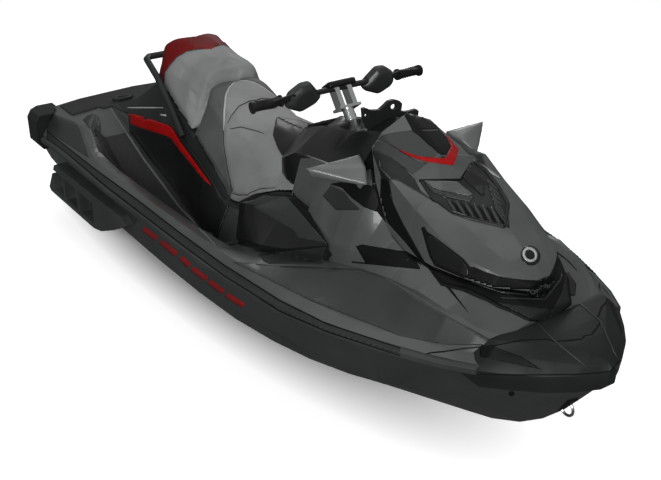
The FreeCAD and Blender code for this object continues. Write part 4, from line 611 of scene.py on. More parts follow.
    def trace(self, trace: Trace, carrier: Skin | None = None) -> bpy.types.Object:
        """Makes a thin piece from its outline or line in the photograph.

        Args:
            trace: The outline or line.
            carrier: Surface that it lies on, or None for its CAD nodes.

        Returns:
            The piece.
        """
        mesh = self.strip_mesh(trace) if trace.width_px > 0 else self.plate_mesh(trace.points)
        self.lay(mesh, carrier or self.skin(trace.carriers), trace.lift_mm * MILLIMETRE)
        if trace.both:
            bmesh.ops.bisect_plane(mesh, geom=whole(mesh), dist=CUT_DISTANCE, plane_co=(0, 0, 0),
                                   plane_no=MIDSHIP, clear_outer=True)
            other = bmesh.ops.duplicate(mesh, geom=whole(mesh))["geom"]
            bmesh.ops.scale(mesh, vec=MIRROR_IMAGE, verts=only(BMVert, other))
            bmesh.ops.reverse_faces(mesh, faces=only(BMFace, other))
        item = self.add(trace.name, mesh, trace.finish, trace.slot, trace.body, self.trace_crease)
        wall = item.modifiers.new("thickness", "SOLIDIFY")
        wall.thickness = self.plate_depth + trace.lift_mm * MILLIMETRE
        wall.offset = -1
        return item


def even_steps(points: Outline, step: float) -> list[Vector]:
    """Returns points about a step apart along a line of pixels."""
    path = [Vector((*points[0], 0))]
    for first, second in zip(points, points[1:]):
        start, end = Vector((*first, 0)), Vector((*second, 0))
        count = max(1, round((end - start).length / step))
        path += [start.lerp(end, index / count) for index in range(1, count + 1)]
    return path


def disc(centre: Pixel, radius_x: float, radius_y: float, turn: float = 0.0, count: int = 24) -> Outline:
    """Returns the outline of an ellipse in pixels."""
    found = []
    for index in range(count):
        angle = 2 * math.pi * index / count
        across, down = radius_x * math.cos(angle), radius_y * math.sin(angle)
        found.append((centre[0] + across * math.cos(turn) - down * math.sin(turn),
                      centre[1] + across * math.sin(turn) + down * math.cos(turn)))
    return tuple(found)


def inside(pixel: Pixel, outline: Outline) -> bool:
    """Says whether a pixel is inside a closed outline."""
    x, y = pixel
    found = False
    for (x0, y0), (x1, y1) in zip(outline, outline[1:] + outline[:1]):
        if (y0 > y) != (y1 > y) and x < x0 + (y - y0) * (x1 - x0) / (y1 - y0):
            found = not found
    return found


# Nodes that share the surface under a piece
DECK = ("deck", "foredeck")
BOW = ("bow_bumper", "hull", "foredeck")
GUNWALE = ("deck", "foredeck", "rub_rail_starboard", "hull")
SHOULDER = ("cowl", "console", "knee_box_starboard")
# Upper and lower edges of the rub rail
RAIL_TOP: Outline = (
    (47, 131), (95, 169), (140, 202), (180, 233), (224, 265), (280, 300.7), (327, 324), (400, 348.4),
)
RAIL_FOOT: Outline = (
    (47, 139), (64, 151), (110.6, 190), (180, 243.4), (224, 275.7), (280, 311), (327, 331.5), (400, 355.8),
)


def paired(node: str, finish: Finish, slot: str, width_mm: float) -> list[tuple[str, Finish, str, float]]:
    """Returns the rows of a node on both sides."""
    return [(f"{node}_{side}", finish, slot, width_mm) for side in ("port", "starboard")]


@dataclass(frozen=True)
class Moulding:
    """Forms of some rigid CAD nodes, and the thin pieces that lie on them.

    Attributes:
        shells: Each node with its finish, its slot and the width of its rounded edges in millimetres.
        traces: Pieces that lie on them.
    """

    shells: tuple[tuple[str, Finish, str, float], ...]
    traces: tuple[Trace, ...]

    def build(self, shop: Workshop) -> None:
        """Builds the forms and what lies on them."""
        for node, finish, slot, width in self.shells:
            shop.shell(node, finish, slot, "craft", width)
        for trace in self.traces:
            shop.trace(trace)


# Creases of the deck, aft and fore
DECK_LINE: Outline = ((233, 262), (268, 278.7), (312, 300.7), (371, 324), (400, 336))
FORE_LINE: Outline = ((380, 276), (428, 306), (464, 326), (497, 343.7))
# Lower and far edges of the scoop, and the crease that runs down to them over the hood's cheek
SCOOP_FOOT: Outline = ((437.6, 201.6), (452, 212.4), (471, 219), (504.7, 226.8))
SCOOP_FAR: Outline = ((507.7, 204), (500, 189.6), (485.3, 170), (473, 161))
CHEEK_LINE: Outline = (
    (389, 191.5), (387.8, 182), (390, 179.6), (394.6, 179.3), (400.3, 181.3), (416, 190.5), (432, 200),
)
# Slanted bars on the hull's side, where the photograph has a word
HULL_BARS: tuple[Outline, ...] = (
    ((142.6, 228.7), (156.5, 239)), ((160.5, 242), (176, 254.5)), ((180, 257.5), (189, 266)),
    ((191.5, 268.5), (206, 279.5)), ((208.5, 281.5), (223, 292.5)), ((226, 294.8), (243, 306)),
)

# Hull, rails, bumpers and sponsons
HULL = Moulding(
    shells=(
        ("hull", HULL_DARK, "hull_dark", 2.5), *paired("rub_rail", RAIL_RUBBER, "rail_rubber", 4.0),
        ("bow_bumper", BUMPER_BLACK, "black_plastic", 3.0),
        *paired("stern_bumper", BUMPER_BLACK, "black_plastic", 5.0),
        *paired("sponson", RAIL_RUBBER, "black_plastic", 3.0),
    ),
    traces=(
        Trace("hull_crease", ((238.7, 312.4), (297.5, 346), (321, 356.5)), ("hull",), CREASE_GREY, 0.6, 1.0,
            taper=0.3, slot="hull_dark"),
        Trace("rail_band", RAIL_TOP + RAIL_FOOT[::-1], GUNWALE, RAIL_SHADE, 1.0, slot="rail_rubber"),
        Trace("rail_line_top", RAIL_TOP, GUNWALE, SHUT_LINE, 1.8, 1.5, taper=0.4, slot="rail_rubber"),
        Trace("rail_line_foot", RAIL_FOOT, GUNWALE, SHUT_LINE, 1.8, 1.3, taper=0.4, slot="rail_rubber"),
        Trace("bumper_seam", ((407.6, 358.7), (431.6, 352.7), (444.7, 351.5), (464, 348.5), (495, 345.5),
            (522, 340.3), (547, 339.3), (555.5, 341.7), (582, 339), (599, 319), (604.5, 301.8)), BOW,
            SHUT_LINE, 0.8, 1.3, slot="black_plastic"),
        Trace("bumper_ridge", ((534.5, 320), (555.5, 341.7), (589, 369)), BOW, CREASE_GREY, 2.0, 1.4,
            both=False, taper=0.3, slot="black_plastic"),
        Trace("bumper_ridge_side", ((562.5, 289), (600, 320.7), (617.8, 360)), BOW, CREASE_GREY, 2.0, 1.4,
            both=False, taper=0.3, slot="black_plastic"),
        Trace("bumper_hollow", ((480, 346), (494, 346.6), (522, 357), (541.5, 369.7), (515, 364),
            (480, 356.4)), ("bow_bumper",), PIT_AND_SHADE_BLACK, 1.8, slot="black_plastic"),
        Trace("bumper_foot", ((480, 373.8), (522, 375), (578, 374.5), (610, 371.7), (620, 360)), BOW,
            SHUT_LINE, 0.8, 1.3, both=False, slot="black_plastic"),
        Trace("hull_drain", disc((511.5, 393.4), 3.0, 2.4), ("hull",), SHUT_LINE, 1.5,
            slot="black_plastic"),
        Trace("eye_recess", ((555.5, 414), (560, 408), (568, 400), (578, 397.6), (577, 404), (570, 411)),
            ("hull",), SHUT_LINE, 1.8, slot="black_plastic"),
    ) + tuple(Trace(f"hull_bar_{index}", ends, ("hull",), HULL_RED, 0.7, 5.2, slot="hull_dark")
              for index, ends in enumerate(HULL_BARS, start=1)),
)

# Deck, footwells, mats and side panels
UPPER_DECK = Moulding(
    shells=(
        *paired("side_panel", GLOSS_BLACK, "gloss_black", 3.0),
        ("pedestal", BLACK_ABS, "black_plastic", 3.0), ("deck", DECK_GREY, "deck_grey", 3.0),
        ("foredeck", DECK_GREY, "deck_grey", 3.0),
    ),
    traces=(
        Trace("deck_crease", DECK_LINE, DECK, CREASE_GREY, 0.6, 1.6, taper=0.3, slot="deck_grey"),
        Trace("deck_crease_fore", FORE_LINE, DECK, CREASE_GREY, 0.6, 1.6, taper=0.2, slot="deck_grey"),
        # Painted shade over the deck's inner slope
        Trace("deck_shade", DECK_LINE[:1] + ((262, 264.5), (280, 266), (327, 267.7), (368, 270)) + FORE_LINE
            + ((480, 345.5), (444, 344.5)) + DECK_LINE[:0:-1], DECK, DECK_SHADE, 1.0, slot="deck_grey"),
        Trace("deck_wedge", ((430.4, 270.5), (436, 273), (450, 287.5), (468.7, 313), (447, 288)),
            DECK + ("nose_cowl",), SHUT_LINE, 1.8, slot="deck_grey"),
        Trace("far_pad", ((564, 274.5), (568, 272.4), (576, 284), (575, 295.5), (571.6, 296), (564, 288.5)),
            DECK + ("nose_cowl",), GLOSS_BLACK, 1.6, both=False, slot="black_plastic"),
        # Painted shade on the stern's darker facet
        Trace("stern_facet", ((51, 113), (76, 122.6), (80, 130), (89, 158), (47, 131)), DECK, CREASE_GREY,
            1.8, slot="deck_grey"),
        Trace("gunwale_pad", ((83, 120), (88, 115.7), (94.6, 114), (99, 117.3), (100.5, 122.6),
            (100.5, 132), (98.4, 136.5), (95, 136.5), (90.4, 129)), DECK, BLACK_ABS, 2.5,
            slot="black_plastic"),
        Trace("mat_border", ((110.6, 107.7), (142.6, 156.8), (179, 206), (216, 245)),
            DECK + ("footwell_mat_starboard", "side_panel_starboard", "hull"), MAT_BORDER, 1.0, 2.4,
            slot="mat_rubber"),
        Trace("panel_stripe", ((120.2, 111.5), (142.6, 117.3), (167, 124.8), (171.4, 128), (180, 142),
            (211, 185), (205, 181), (180, 150.4), (171.4, 138.6), (167, 136), (144.7, 129), (133, 124.8),
            (125, 120.5)), ("side_panel_starboard",), DECAL_RED, 3.2),
        Trace("step_light", ((126.6, 107.7), (163, 107.7)), DECK + ("pedestal", "side_panel_starboard"),
            EDGE_LIGHT, 0.8, 1.3, taper=0.4),
        Trace("panel_slot", ((160, 114.6), (166, 115.5)), ("side_panel_starboard", "pedestal"), EDGE_LIGHT,
            1.2, 1.6),
    ),
)

# Shoulders, knee boxes, console and nose cowl
COWLING = Moulding(
    shells=(
        ("cowl", HOOD_GREY, "deck_grey", 3.0), ("nose_cowl", DECK_GREY, "deck_grey", 3.0),
        *paired("knee_box", GLOSS_BLACK, "gloss_black", 4.0), ("console", GLOSS_BLACK, "gloss_black", 4.0),
    ),
    traces=(
        Trace("nose_lips", ((400, 239), (414, 258), (428, 268), (447, 284), (479.5, 298.7), (500, 306),
            (512, 312), (525, 320), (551.5, 321.5), (555, 318), (558.5, 295), (560, 273), (558, 250),
            (555.5, 262), (549, 268), (542, 277), (531, 281), (515, 286), (493, 286), (467, 277),
            (440, 266), (420, 256), (410, 246)), ("nose_cowl",), PIT_AND_SHADE_BLACK, 2.4),
        Trace("nose_lip_edge", ((428, 267), (441.7, 284), (467.5, 290), (486, 298.6), (499, 306),
            (512, 311), (528.6, 319.5), (551.5, 321.5)), ("nose_cowl", "foredeck", "deck"), PIT_AND_SHADE_BLACK, 3.0,
            4.0, taper=0.3),
        # Painted highlights: lighter lines along the nose's ribs
        Trace("nose_rib_1", ((471, 272), (500, 282.5), (522, 284.5)), ("nose_cowl", "foredeck"), SHEEN_AND_SHADE_GREY,
            4.0, 1.5, taper=0.4),
        Trace("nose_rib_2", ((471, 282), (500, 292), (528, 295.5)), ("nose_cowl", "foredeck"), SHEEN_AND_SHADE_GREY,
            4.0, 1.5, taper=0.4),
        Trace("nose_rib_3", ((500, 298), (550, 300)), ("nose_cowl", "foredeck"), SHEEN_AND_SHADE_GREY, 4.0, 1.3,
            taper=0.4),
        Trace("nose_pad", ((497, 302.5), (557, 311), (555.5, 318), (552.7, 321), (533, 320)), ("nose_cowl",
            "foredeck"), BUMPER_BLACK, 3.0, slot="black_plastic"),
        Trace("shoulder_gap", ((369.7, 152), (374.5, 151), (378.5, 163), (384, 182), (387, 199), (394, 219),
            (404, 242), (416, 256), (421, 266), (414, 257), (409, 252.4), (393.5, 231.2), (379.1, 214.5),
            (377.4, 211.7), (376, 200), (372.5, 186), (371, 170)), ("cowl", "nose_cowl"), SHUT_LINE, 1.6),
        # Painted sheen: a lit facet on the gloss black knee box
        Trace("knee_facet", ((253.4, 207.4), (285.7, 195.7), (326.8, 243.4), (299, 238.3), (293, 230)),
            ("knee_box_starboard",), SHEEN_AND_SHADE_GREY, 1.8),
        Trace("knee_foot", ((260.8, 250), (290, 249.5), (325.4, 246.4)), ("knee_box_starboard", "deck"),
            SHUT_LINE, 0.8, 2.6),
        Trace("knee_pad", ((257.8, 254.4), (326.8, 247), (332.7, 255), (321, 264), (269.6, 264),
            (263.7, 261)), ("deck", "knee_box_starboard", "cowl"), BUMPER_BLACK, 1.0),
        Trace("knee_gap", ((291.6, 190.6), (310.7, 214), (329, 246.4), (306, 218.5), (287, 196.4)),
            SHOULDER, SHUT_LINE, 1.2),
        # Painted shade: the shoulder's recess laid darker than the cowl
        Trace("shoulder_recess", ((323, 196), (331, 185), (345, 192), (350, 200), (361, 210), (336, 210)),
            ("cowl",), SHEEN_AND_SHADE_GREY, 1.0),
        Trace("mirror_recess", ((330, 184), (342.5, 188), (352, 198), (364, 207), (377, 212), (380, 196),
            (372, 186), (350, 180)), ("cowl",), PIT_AND_SHADE_BLACK, 1.8),
        Trace("deck_recess", ((356, 246.4), (362, 244.6), (400, 251), (412, 252), (420, 268), (366.5, 264)),
            ("cowl", "nose_cowl", "deck", "foredeck"), PIT_AND_SHADE_BLACK, 1.8),
        Trace("deck_recess_line", ((352, 262), (420, 268.5)), ("cowl", "nose_cowl", "deck", "foredeck"),
            SHUT_LINE, 1.0, 1.6),
    ),
)


@dataclass
class Mirrors:
    """Two mirror pods with their glass."""

    voxel: float = 0.005
    rounds: int = 12
    swell: float = 0.005
    rim: float = 0.016
    glass_depth: float = 0.0015

    def glass(self, shop: Workshop, node: str) -> BMesh:
        """Returns a thin plate on the pod's rear face, inside its rim.

        Args:
            shop: The workshop.
            node: CAD node of the mirror.

        Returns:
            The plate's mesh.
        """
        mesh = shop.merged(node)
        mesh.normal_update()
        rear = max(mesh.faces, key=lambda face: -face.normal.x * face.calc_area())
        bmesh.ops.delete(mesh, geom=[face for face in mesh.faces if face is not rear], context="FACES")
        inset = bmesh.ops.inset_region(mesh, faces=mesh.faces[:], thickness=self.rim, use_even_offset=True)
        bmesh.ops.delete(mesh, geom=inset["faces"], context="FACES")
        thicken(mesh, mesh.faces[:][0].normal * self.glass_depth)
        return mesh

    def build(self, shop: Workshop) -> None:
        """Builds both pods and their glass."""
        for node in ("mirror_port", "mirror_starboard"):
            rounded = shop.even_mesh(node, self.voxel, self.rounds, -self.swell)
            pod = shop.add(node + "_form", rounded, MIRROR_GREY, "deck_grey", crease=shop.soft_crease)
            glass = shop.add(node + "_glass", self.glass(shop, node), POLISHED_ALLOY, "deck_grey")
            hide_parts(node)
            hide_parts(node)


@dataclass
class Bracket:
    """Holed plate behind the screen that carries the display."""

    outline: Outline = (
        (363, 109), (366, 108), (372, 110.5), (380, 110), (384.5, 106), (389, 101.4), (394.6, 99.7),
        (400, 101), (402.6, 103.7), (401.4, 111.6), (408, 111.6), (417, 109.3), (419, 111), (418.4, 115.6),
        (414, 124), (368, 130), (364, 120),
    )
    holes: tuple[tuple[Pixel, float], ...] = (((394, 107), 2.9), ((366.6, 115.6), 1.8))
    hole_sides: int = 16
    station: float = 0.608
    depth: float = 0.016
    edge_mm: float = 1.5

    def build(self, shop: Workshop) -> None:
        """Builds the plate."""
        mesh = bmesh.new()
        start = Vector(shop.sight.place)
        holes = tuple(disc(centre, size, size, count=self.hole_sides) for centre, size in self.holes)
        edges = []
        for loop in (self.outline,) + holes:
            ring = []
            for pixel in loop:
                line = shop.sight.line(*pixel)
                ring.append(mesh.verts.new(start + line * ((self.station - start.x) / line.x)))
            edges += [mesh.edges.new(pair) for pair in zip(ring, ring[1:] + ring[:1])]
        bmesh.ops.triangle_fill(mesh, use_beauty=True, edges=edges)
        thicken(mesh, Vector((-self.depth, 0, 0)))
        item = shop.add("display_bracket", mesh, BLACK_ABS, "black_plastic")
        shop.soften(item, self.edge_mm)
        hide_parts("gauge")


# The hood, and the hood with the opening under its scoop closed
HOOD = ("hood",)
TOP = ("closed hood",)
BADGE_RIM = disc((529.8, 254.8), 6.6, 5.8, 0.8)


@dataclass
class Hood:
    """Hinged hood with its screen, scoop, louvres and inserts."""

    traces: tuple[Trace, ...] = (
        # Painted shade: the hood's slope and flank laid darker where they turn from the light
        Trace("hood_slope", ((374, 141), (383.7, 141.7), (397, 149), (418.6, 161.8), (453.4, 166),
            (461.4, 175), (421, 176.5), (418.6, 180), (405, 168.5), (391.8, 159), (378.4, 152.4),
            (371, 149)), TOP, SLOPE_GREY, 0.6, slot="deck_grey"),
        Trace("hood_flank", ((371, 149), (378.4, 152.4), (391.8, 159), (405, 168.5), (414.5, 179),
            (421, 191)) + CHEEK_LINE[::-1] + ((384, 184), (377, 165)), HOOD, FLANK_GREY, 0.6,
            slot="deck_grey"),
        # Painted shade: a black sheet in the gap between the hood's cheek and the shoulder
        Trace("cheek_shade", ((381, 178), (389, 181), (393.7, 204), (404.8, 226.6), (425, 262), (417, 257),
            (406, 243), (388, 223), (380, 206)), HOOD, PIT_AND_SHADE_BLACK, 0.9),
        # Painted shade: the darker top facet of the screen
        Trace("screen_top", ((403.8, 114.2), (408.5, 113.2), (418.6, 115), (436, 125), (439, 129.6),
            (412.5, 130.6)), TOP, PIT_AND_SHADE_BLACK, 2.0),
        # Painted shade: the band round the screen in the slope's shaded grey
        Trace("screen_band", ((376, 139), (384, 135), (398, 132), (412.5, 130.6), (423, 139.4),
            (444.5, 158.6), (432, 158), (419.6, 157), (409, 156), (398, 149.6), (384.4, 141.6)), TOP,
            SLOPE_GREY, 1.4),
        Trace("screen_face", ((412.5, 130.6), (439, 129.6), (446, 137.7), (450.8, 147), (444.5, 158.6),
            (423, 139.4)), TOP, PIT_AND_SHADE_BLACK, 2.2),
        Trace("screen_v", ((446, 136), (452, 143), (457.6, 149.6), (456.4, 156), (453, 165.2), (450, 165.2),
            (430, 162.6), (421, 160.3), (409, 156), (398, 149.6), (408, 153.6), (419.6, 157), (432, 158),
            (444.5, 159), (450.7, 147.3), (449.6, 141.6)), TOP, DECAL_RED, 3.4),
        Trace("scoop_roof", ((411, 176), (441, 152), (474, 156), (478, 160), (471.5, 164.5), (461, 180.5),
            (421, 182), (416, 181)), TOP, PLATE_GREY, 1.6, slot="deck_grey"),
        # Painted shade: the scoop's bed laid in the flank's shaded grey
        Trace("scoop_bed", ((421, 180), (433, 200)) + SCOOP_FOOT + ((509.5, 228),) + SCOOP_FAR
            + ((460.4, 178),), TOP, FLANK_GREY, 0.7),
        Trace("scoop_rim", ((421, 181), (433, 200)) + SCOOP_FOOT, TOP, GLOSS_BLACK, 4.0, 2.4),
        Trace("scoop_rim_far", SCOOP_FOOT[-1:] + SCOOP_FAR, TOP, GLOSS_BLACK, 4.0, 2.4),
        Trace("scoop_lip", ((419, 180.8), (460.4, 179.9), (471.5, 163)), TOP, SHUT_LINE, 2.4, 2.2),
        Trace("scoop_plate", ((424, 181), (457, 182.4), (472.8, 195.5), (469.4, 196.6), (443.4, 191.5),
            (432, 188)), TOP, HOOD_GREY, 5.0, slot="deck_grey"),
        # Painted shade: the scoop plate's side laid darker than its top
        Trace("scoop_plate_side", ((424.5, 183), (432, 188), (443.4, 191.5), (469.4, 196.6), (472.8, 195.5),
            (473.5, 198.5), (470, 202), (444, 196), (432.5, 192.5)), TOP, SHEEN_AND_SHADE_GREY, 3.4),
        Trace("scoop_vent", ((462.7, 178), (470.6, 165), (483, 179.5), (484.5, 195), (481, 195)), TOP,
            GLOSS_BLACK, 4.0),
        # Painted highlight along the hood's far edge
        Trace("hood_far_edge", ((470.6, 160), (484, 167), (500, 178)), HOOD, EDGE_LIGHT, 1.2, 2.4,
            both=False, taper=0.3, slot="deck_grey"),
        Trace("cheek_line", CHEEK_LINE + SCOOP_FOOT, HOOD, CREASE_GREY, 0.8, 1.4, taper=0.5,
            slot="deck_grey"),
        Trace("cheek_side_line", ((389, 191.5), (392, 199.5), (400, 218.7), (416.4, 247)), HOOD,
            CREASE_GREY, 0.8, 1.4, taper=0.5, slot="deck_grey"),
        Trace("insert_bed", ((421.4, 228), (424.4, 226.5), (427.4, 231.6), (437.6, 238.8), (464, 259),
            (470, 266.3), (478.3, 269.3), (470, 279), (467.5, 280), (435, 266), (429.5, 256)),
            HOOD + ("nose_cowl",), SHUT_LINE, 1.8),
        Trace("insert_plate", ((426, 239), (430.4, 236), (436.4, 239), (462.7, 260.3), (467, 266.3),
            (469.3, 274.7), (467.5, 277.4), (435.2, 264), (431.6, 256.7)), HOOD + ("nose_cowl",),
            INSERT_BLACK, 3.4),
        Trace("hood_lip", ((470, 268.5), (473.5, 266.7), (485, 271.5), (498, 275.9), (510, 278.2),
            (522.5, 279.7), (537.8, 280.5), (543.9, 277.4), (548.5, 268), (550.8, 260.6), (551.5, 242.2),
            (566, 242), (562, 275), (552, 297), (538, 299), (515, 297), (490, 290), (470, 281)), HOOD,
            PIT_AND_SHADE_BLACK, 1.2),
        Trace("badge_bed", disc((530.4, 255.6), 10.4, 9.4, 0.8), HOOD, GLOSS_BLACK, 1.0, both=False),
        Trace("badge_ring", BADGE_RIM + BADGE_RIM[:1], HOOD, EDGE_LIGHT, 2.2, 2.4, both=False),
    )
    near_fins: tuple[Outline, Outline] = (((447, 199), (456, 212.5)), ((491, 207.5), (500, 225)))
    far_fins: tuple[Outline, Outline] = (((487, 181), (497.5, 190)), ((495, 208), (504.5, 222)))
    near_count: int = 6
    far_count: int = 7
    gap_offset: Pixel = (4.6, 1.6)
    window: Outline = (
        (414.5, 175), (443, 154.5), (470, 157), (479, 170), (489, 182), (494, 191), (500.5, 202), (506, 213),
        (510, 229), (486, 219), (468, 208), (447, 201), (433, 193),
    )

    def fins(self, ends: tuple[Outline, Outline], count: int) -> list[Outline]:
        """Returns lines spaced evenly from a first to a last one."""
        (first_top, first_foot), (last_top, last_foot) = ends
        found = []
        for index in range(count):
            share = index / (count - 1)
            found.append(tuple((a[0] + (b[0] - a[0]) * share, a[1] + (b[1] - a[1]) * share)
                               for a, b in ((first_top, last_top), (first_foot, last_foot))))
        return found

    def louvres(self) -> list[Trace]:
        """Returns the lit fins on both sides of the scoop, and the dark slots beside the near ones."""
        found = []
        for index, fin in enumerate(self.fins(self.near_fins, self.near_count), start=1):
            gap = tuple((x + self.gap_offset[0], y + self.gap_offset[1]) for x, y in fin)
            found.append(Trace(f"louvre_{index}", fin, TOP, SHEEN_AND_SHADE_GREY, 4.0, 3.4, taper=0.5))
            found.append(Trace(f"louvre_gap_{index}", gap, TOP, SHUT_LINE, 1.2, 2.8, taper=0.5))
        for index, fin in enumerate(self.fins(self.far_fins, self.far_count), start=1):
            found.append(Trace(f"far_louvre_{index}", fin, TOP, SHEEN_AND_SHADE_GREY, 4.0, 1.6, taper=0.5))
        return found

    def build(self, shop: Workshop) -> None:
        """Builds the hood's form and what lies on it."""
        shop.shell("hood", HOOD_GREY, "deck_grey", "hood", 3.0)
        closed = shop.lid(self.window, HOOD)
        for trace in self.traces + tuple(self.louvres()):
            top = trace.carriers == TOP
            ridden = replace(trace, body="hood", both=trace.both and not top)
            item = shop.trace(ridden, closed if top else None)
            if trace.name == "scoop_bed":
                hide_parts("hood_grille")


@dataclass
class Controls:
    """Handlebar, pods, grips, levers and bar pad."""

    voxel: float = 0.005
    rounds: int = 5
    rib_count: int = 9
    rib_wire: float = 0.0016
    rib_radius: float = 0.0172
    rib_sides: int = 6
    rib_steps: int = 20
    rib_first: float = 0.2
    rib_reach: float = 0.68
    end_points: int = 40

    def rib(self, mesh: BMesh, centre: Vector, axis: Vector) -> None:
        """Adds one moulded ring round a grip."""
        aside = axis.orthogonal().normalized()
        turn = axis.cross(aside).to_track_quat("Z", "Y").to_matrix().to_4x4()
        matrix = Matrix.Translation(centre + aside * self.rib_radius) @ turn
        circle = bmesh.ops.create_circle(mesh, segments=self.rib_sides, radius=self.rib_wire, matrix=matrix)
        ring = circle["verts"]
        edges = list({edge for vert in ring for edge in vert.link_edges})
        bmesh.ops.spin(mesh, geom=ring + edges, cent=centre, axis=axis, angle=2 * math.pi,
                       steps=self.rib_steps, use_merge=True, dvec=(0, 0, 0))

    def build(self, shop: Workshop) -> None:
        """Builds the steering's forms."""
        shop.shell("control_levers", BAR_PAINT, "bar_black", "steering", 2.0)
        for node, finish in (("lever_housings", POD_BLACK), ("bar_pad", INSERT_BLACK)):
            rounded = shop.even_mesh(node, self.voxel, self.rounds, 0.0)
            item = shop.add(node + "_form", rounded, finish, "black_plastic", "steering", shop.soft_crease)
            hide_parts(node)
        mesh = bmesh.new()
        for side in (1, -1):
            own = [vert.co for vert in shop.nodes["grips"].data.vertices if vert.co.y * side > 0]
            inner = sorted(own, key=lambda point: abs(point.y))
            start = sum(inner[:self.end_points], Vector()) / self.end_points
            end = sum(inner[-self.end_points:], Vector()) / self.end_points
            axis = (end - start).normalized()
            for index in range(self.rib_count):
                share = self.rib_first + self.rib_reach * index / (self.rib_count - 1)
                self.rib(mesh, start.lerp(end, share), axis)
        bmesh.ops.recalc_face_normals(mesh, faces=mesh.faces[:])
        shop.add("grip_ribs", mesh, GRIP_RUBBER, "grip_rubber", "steering")


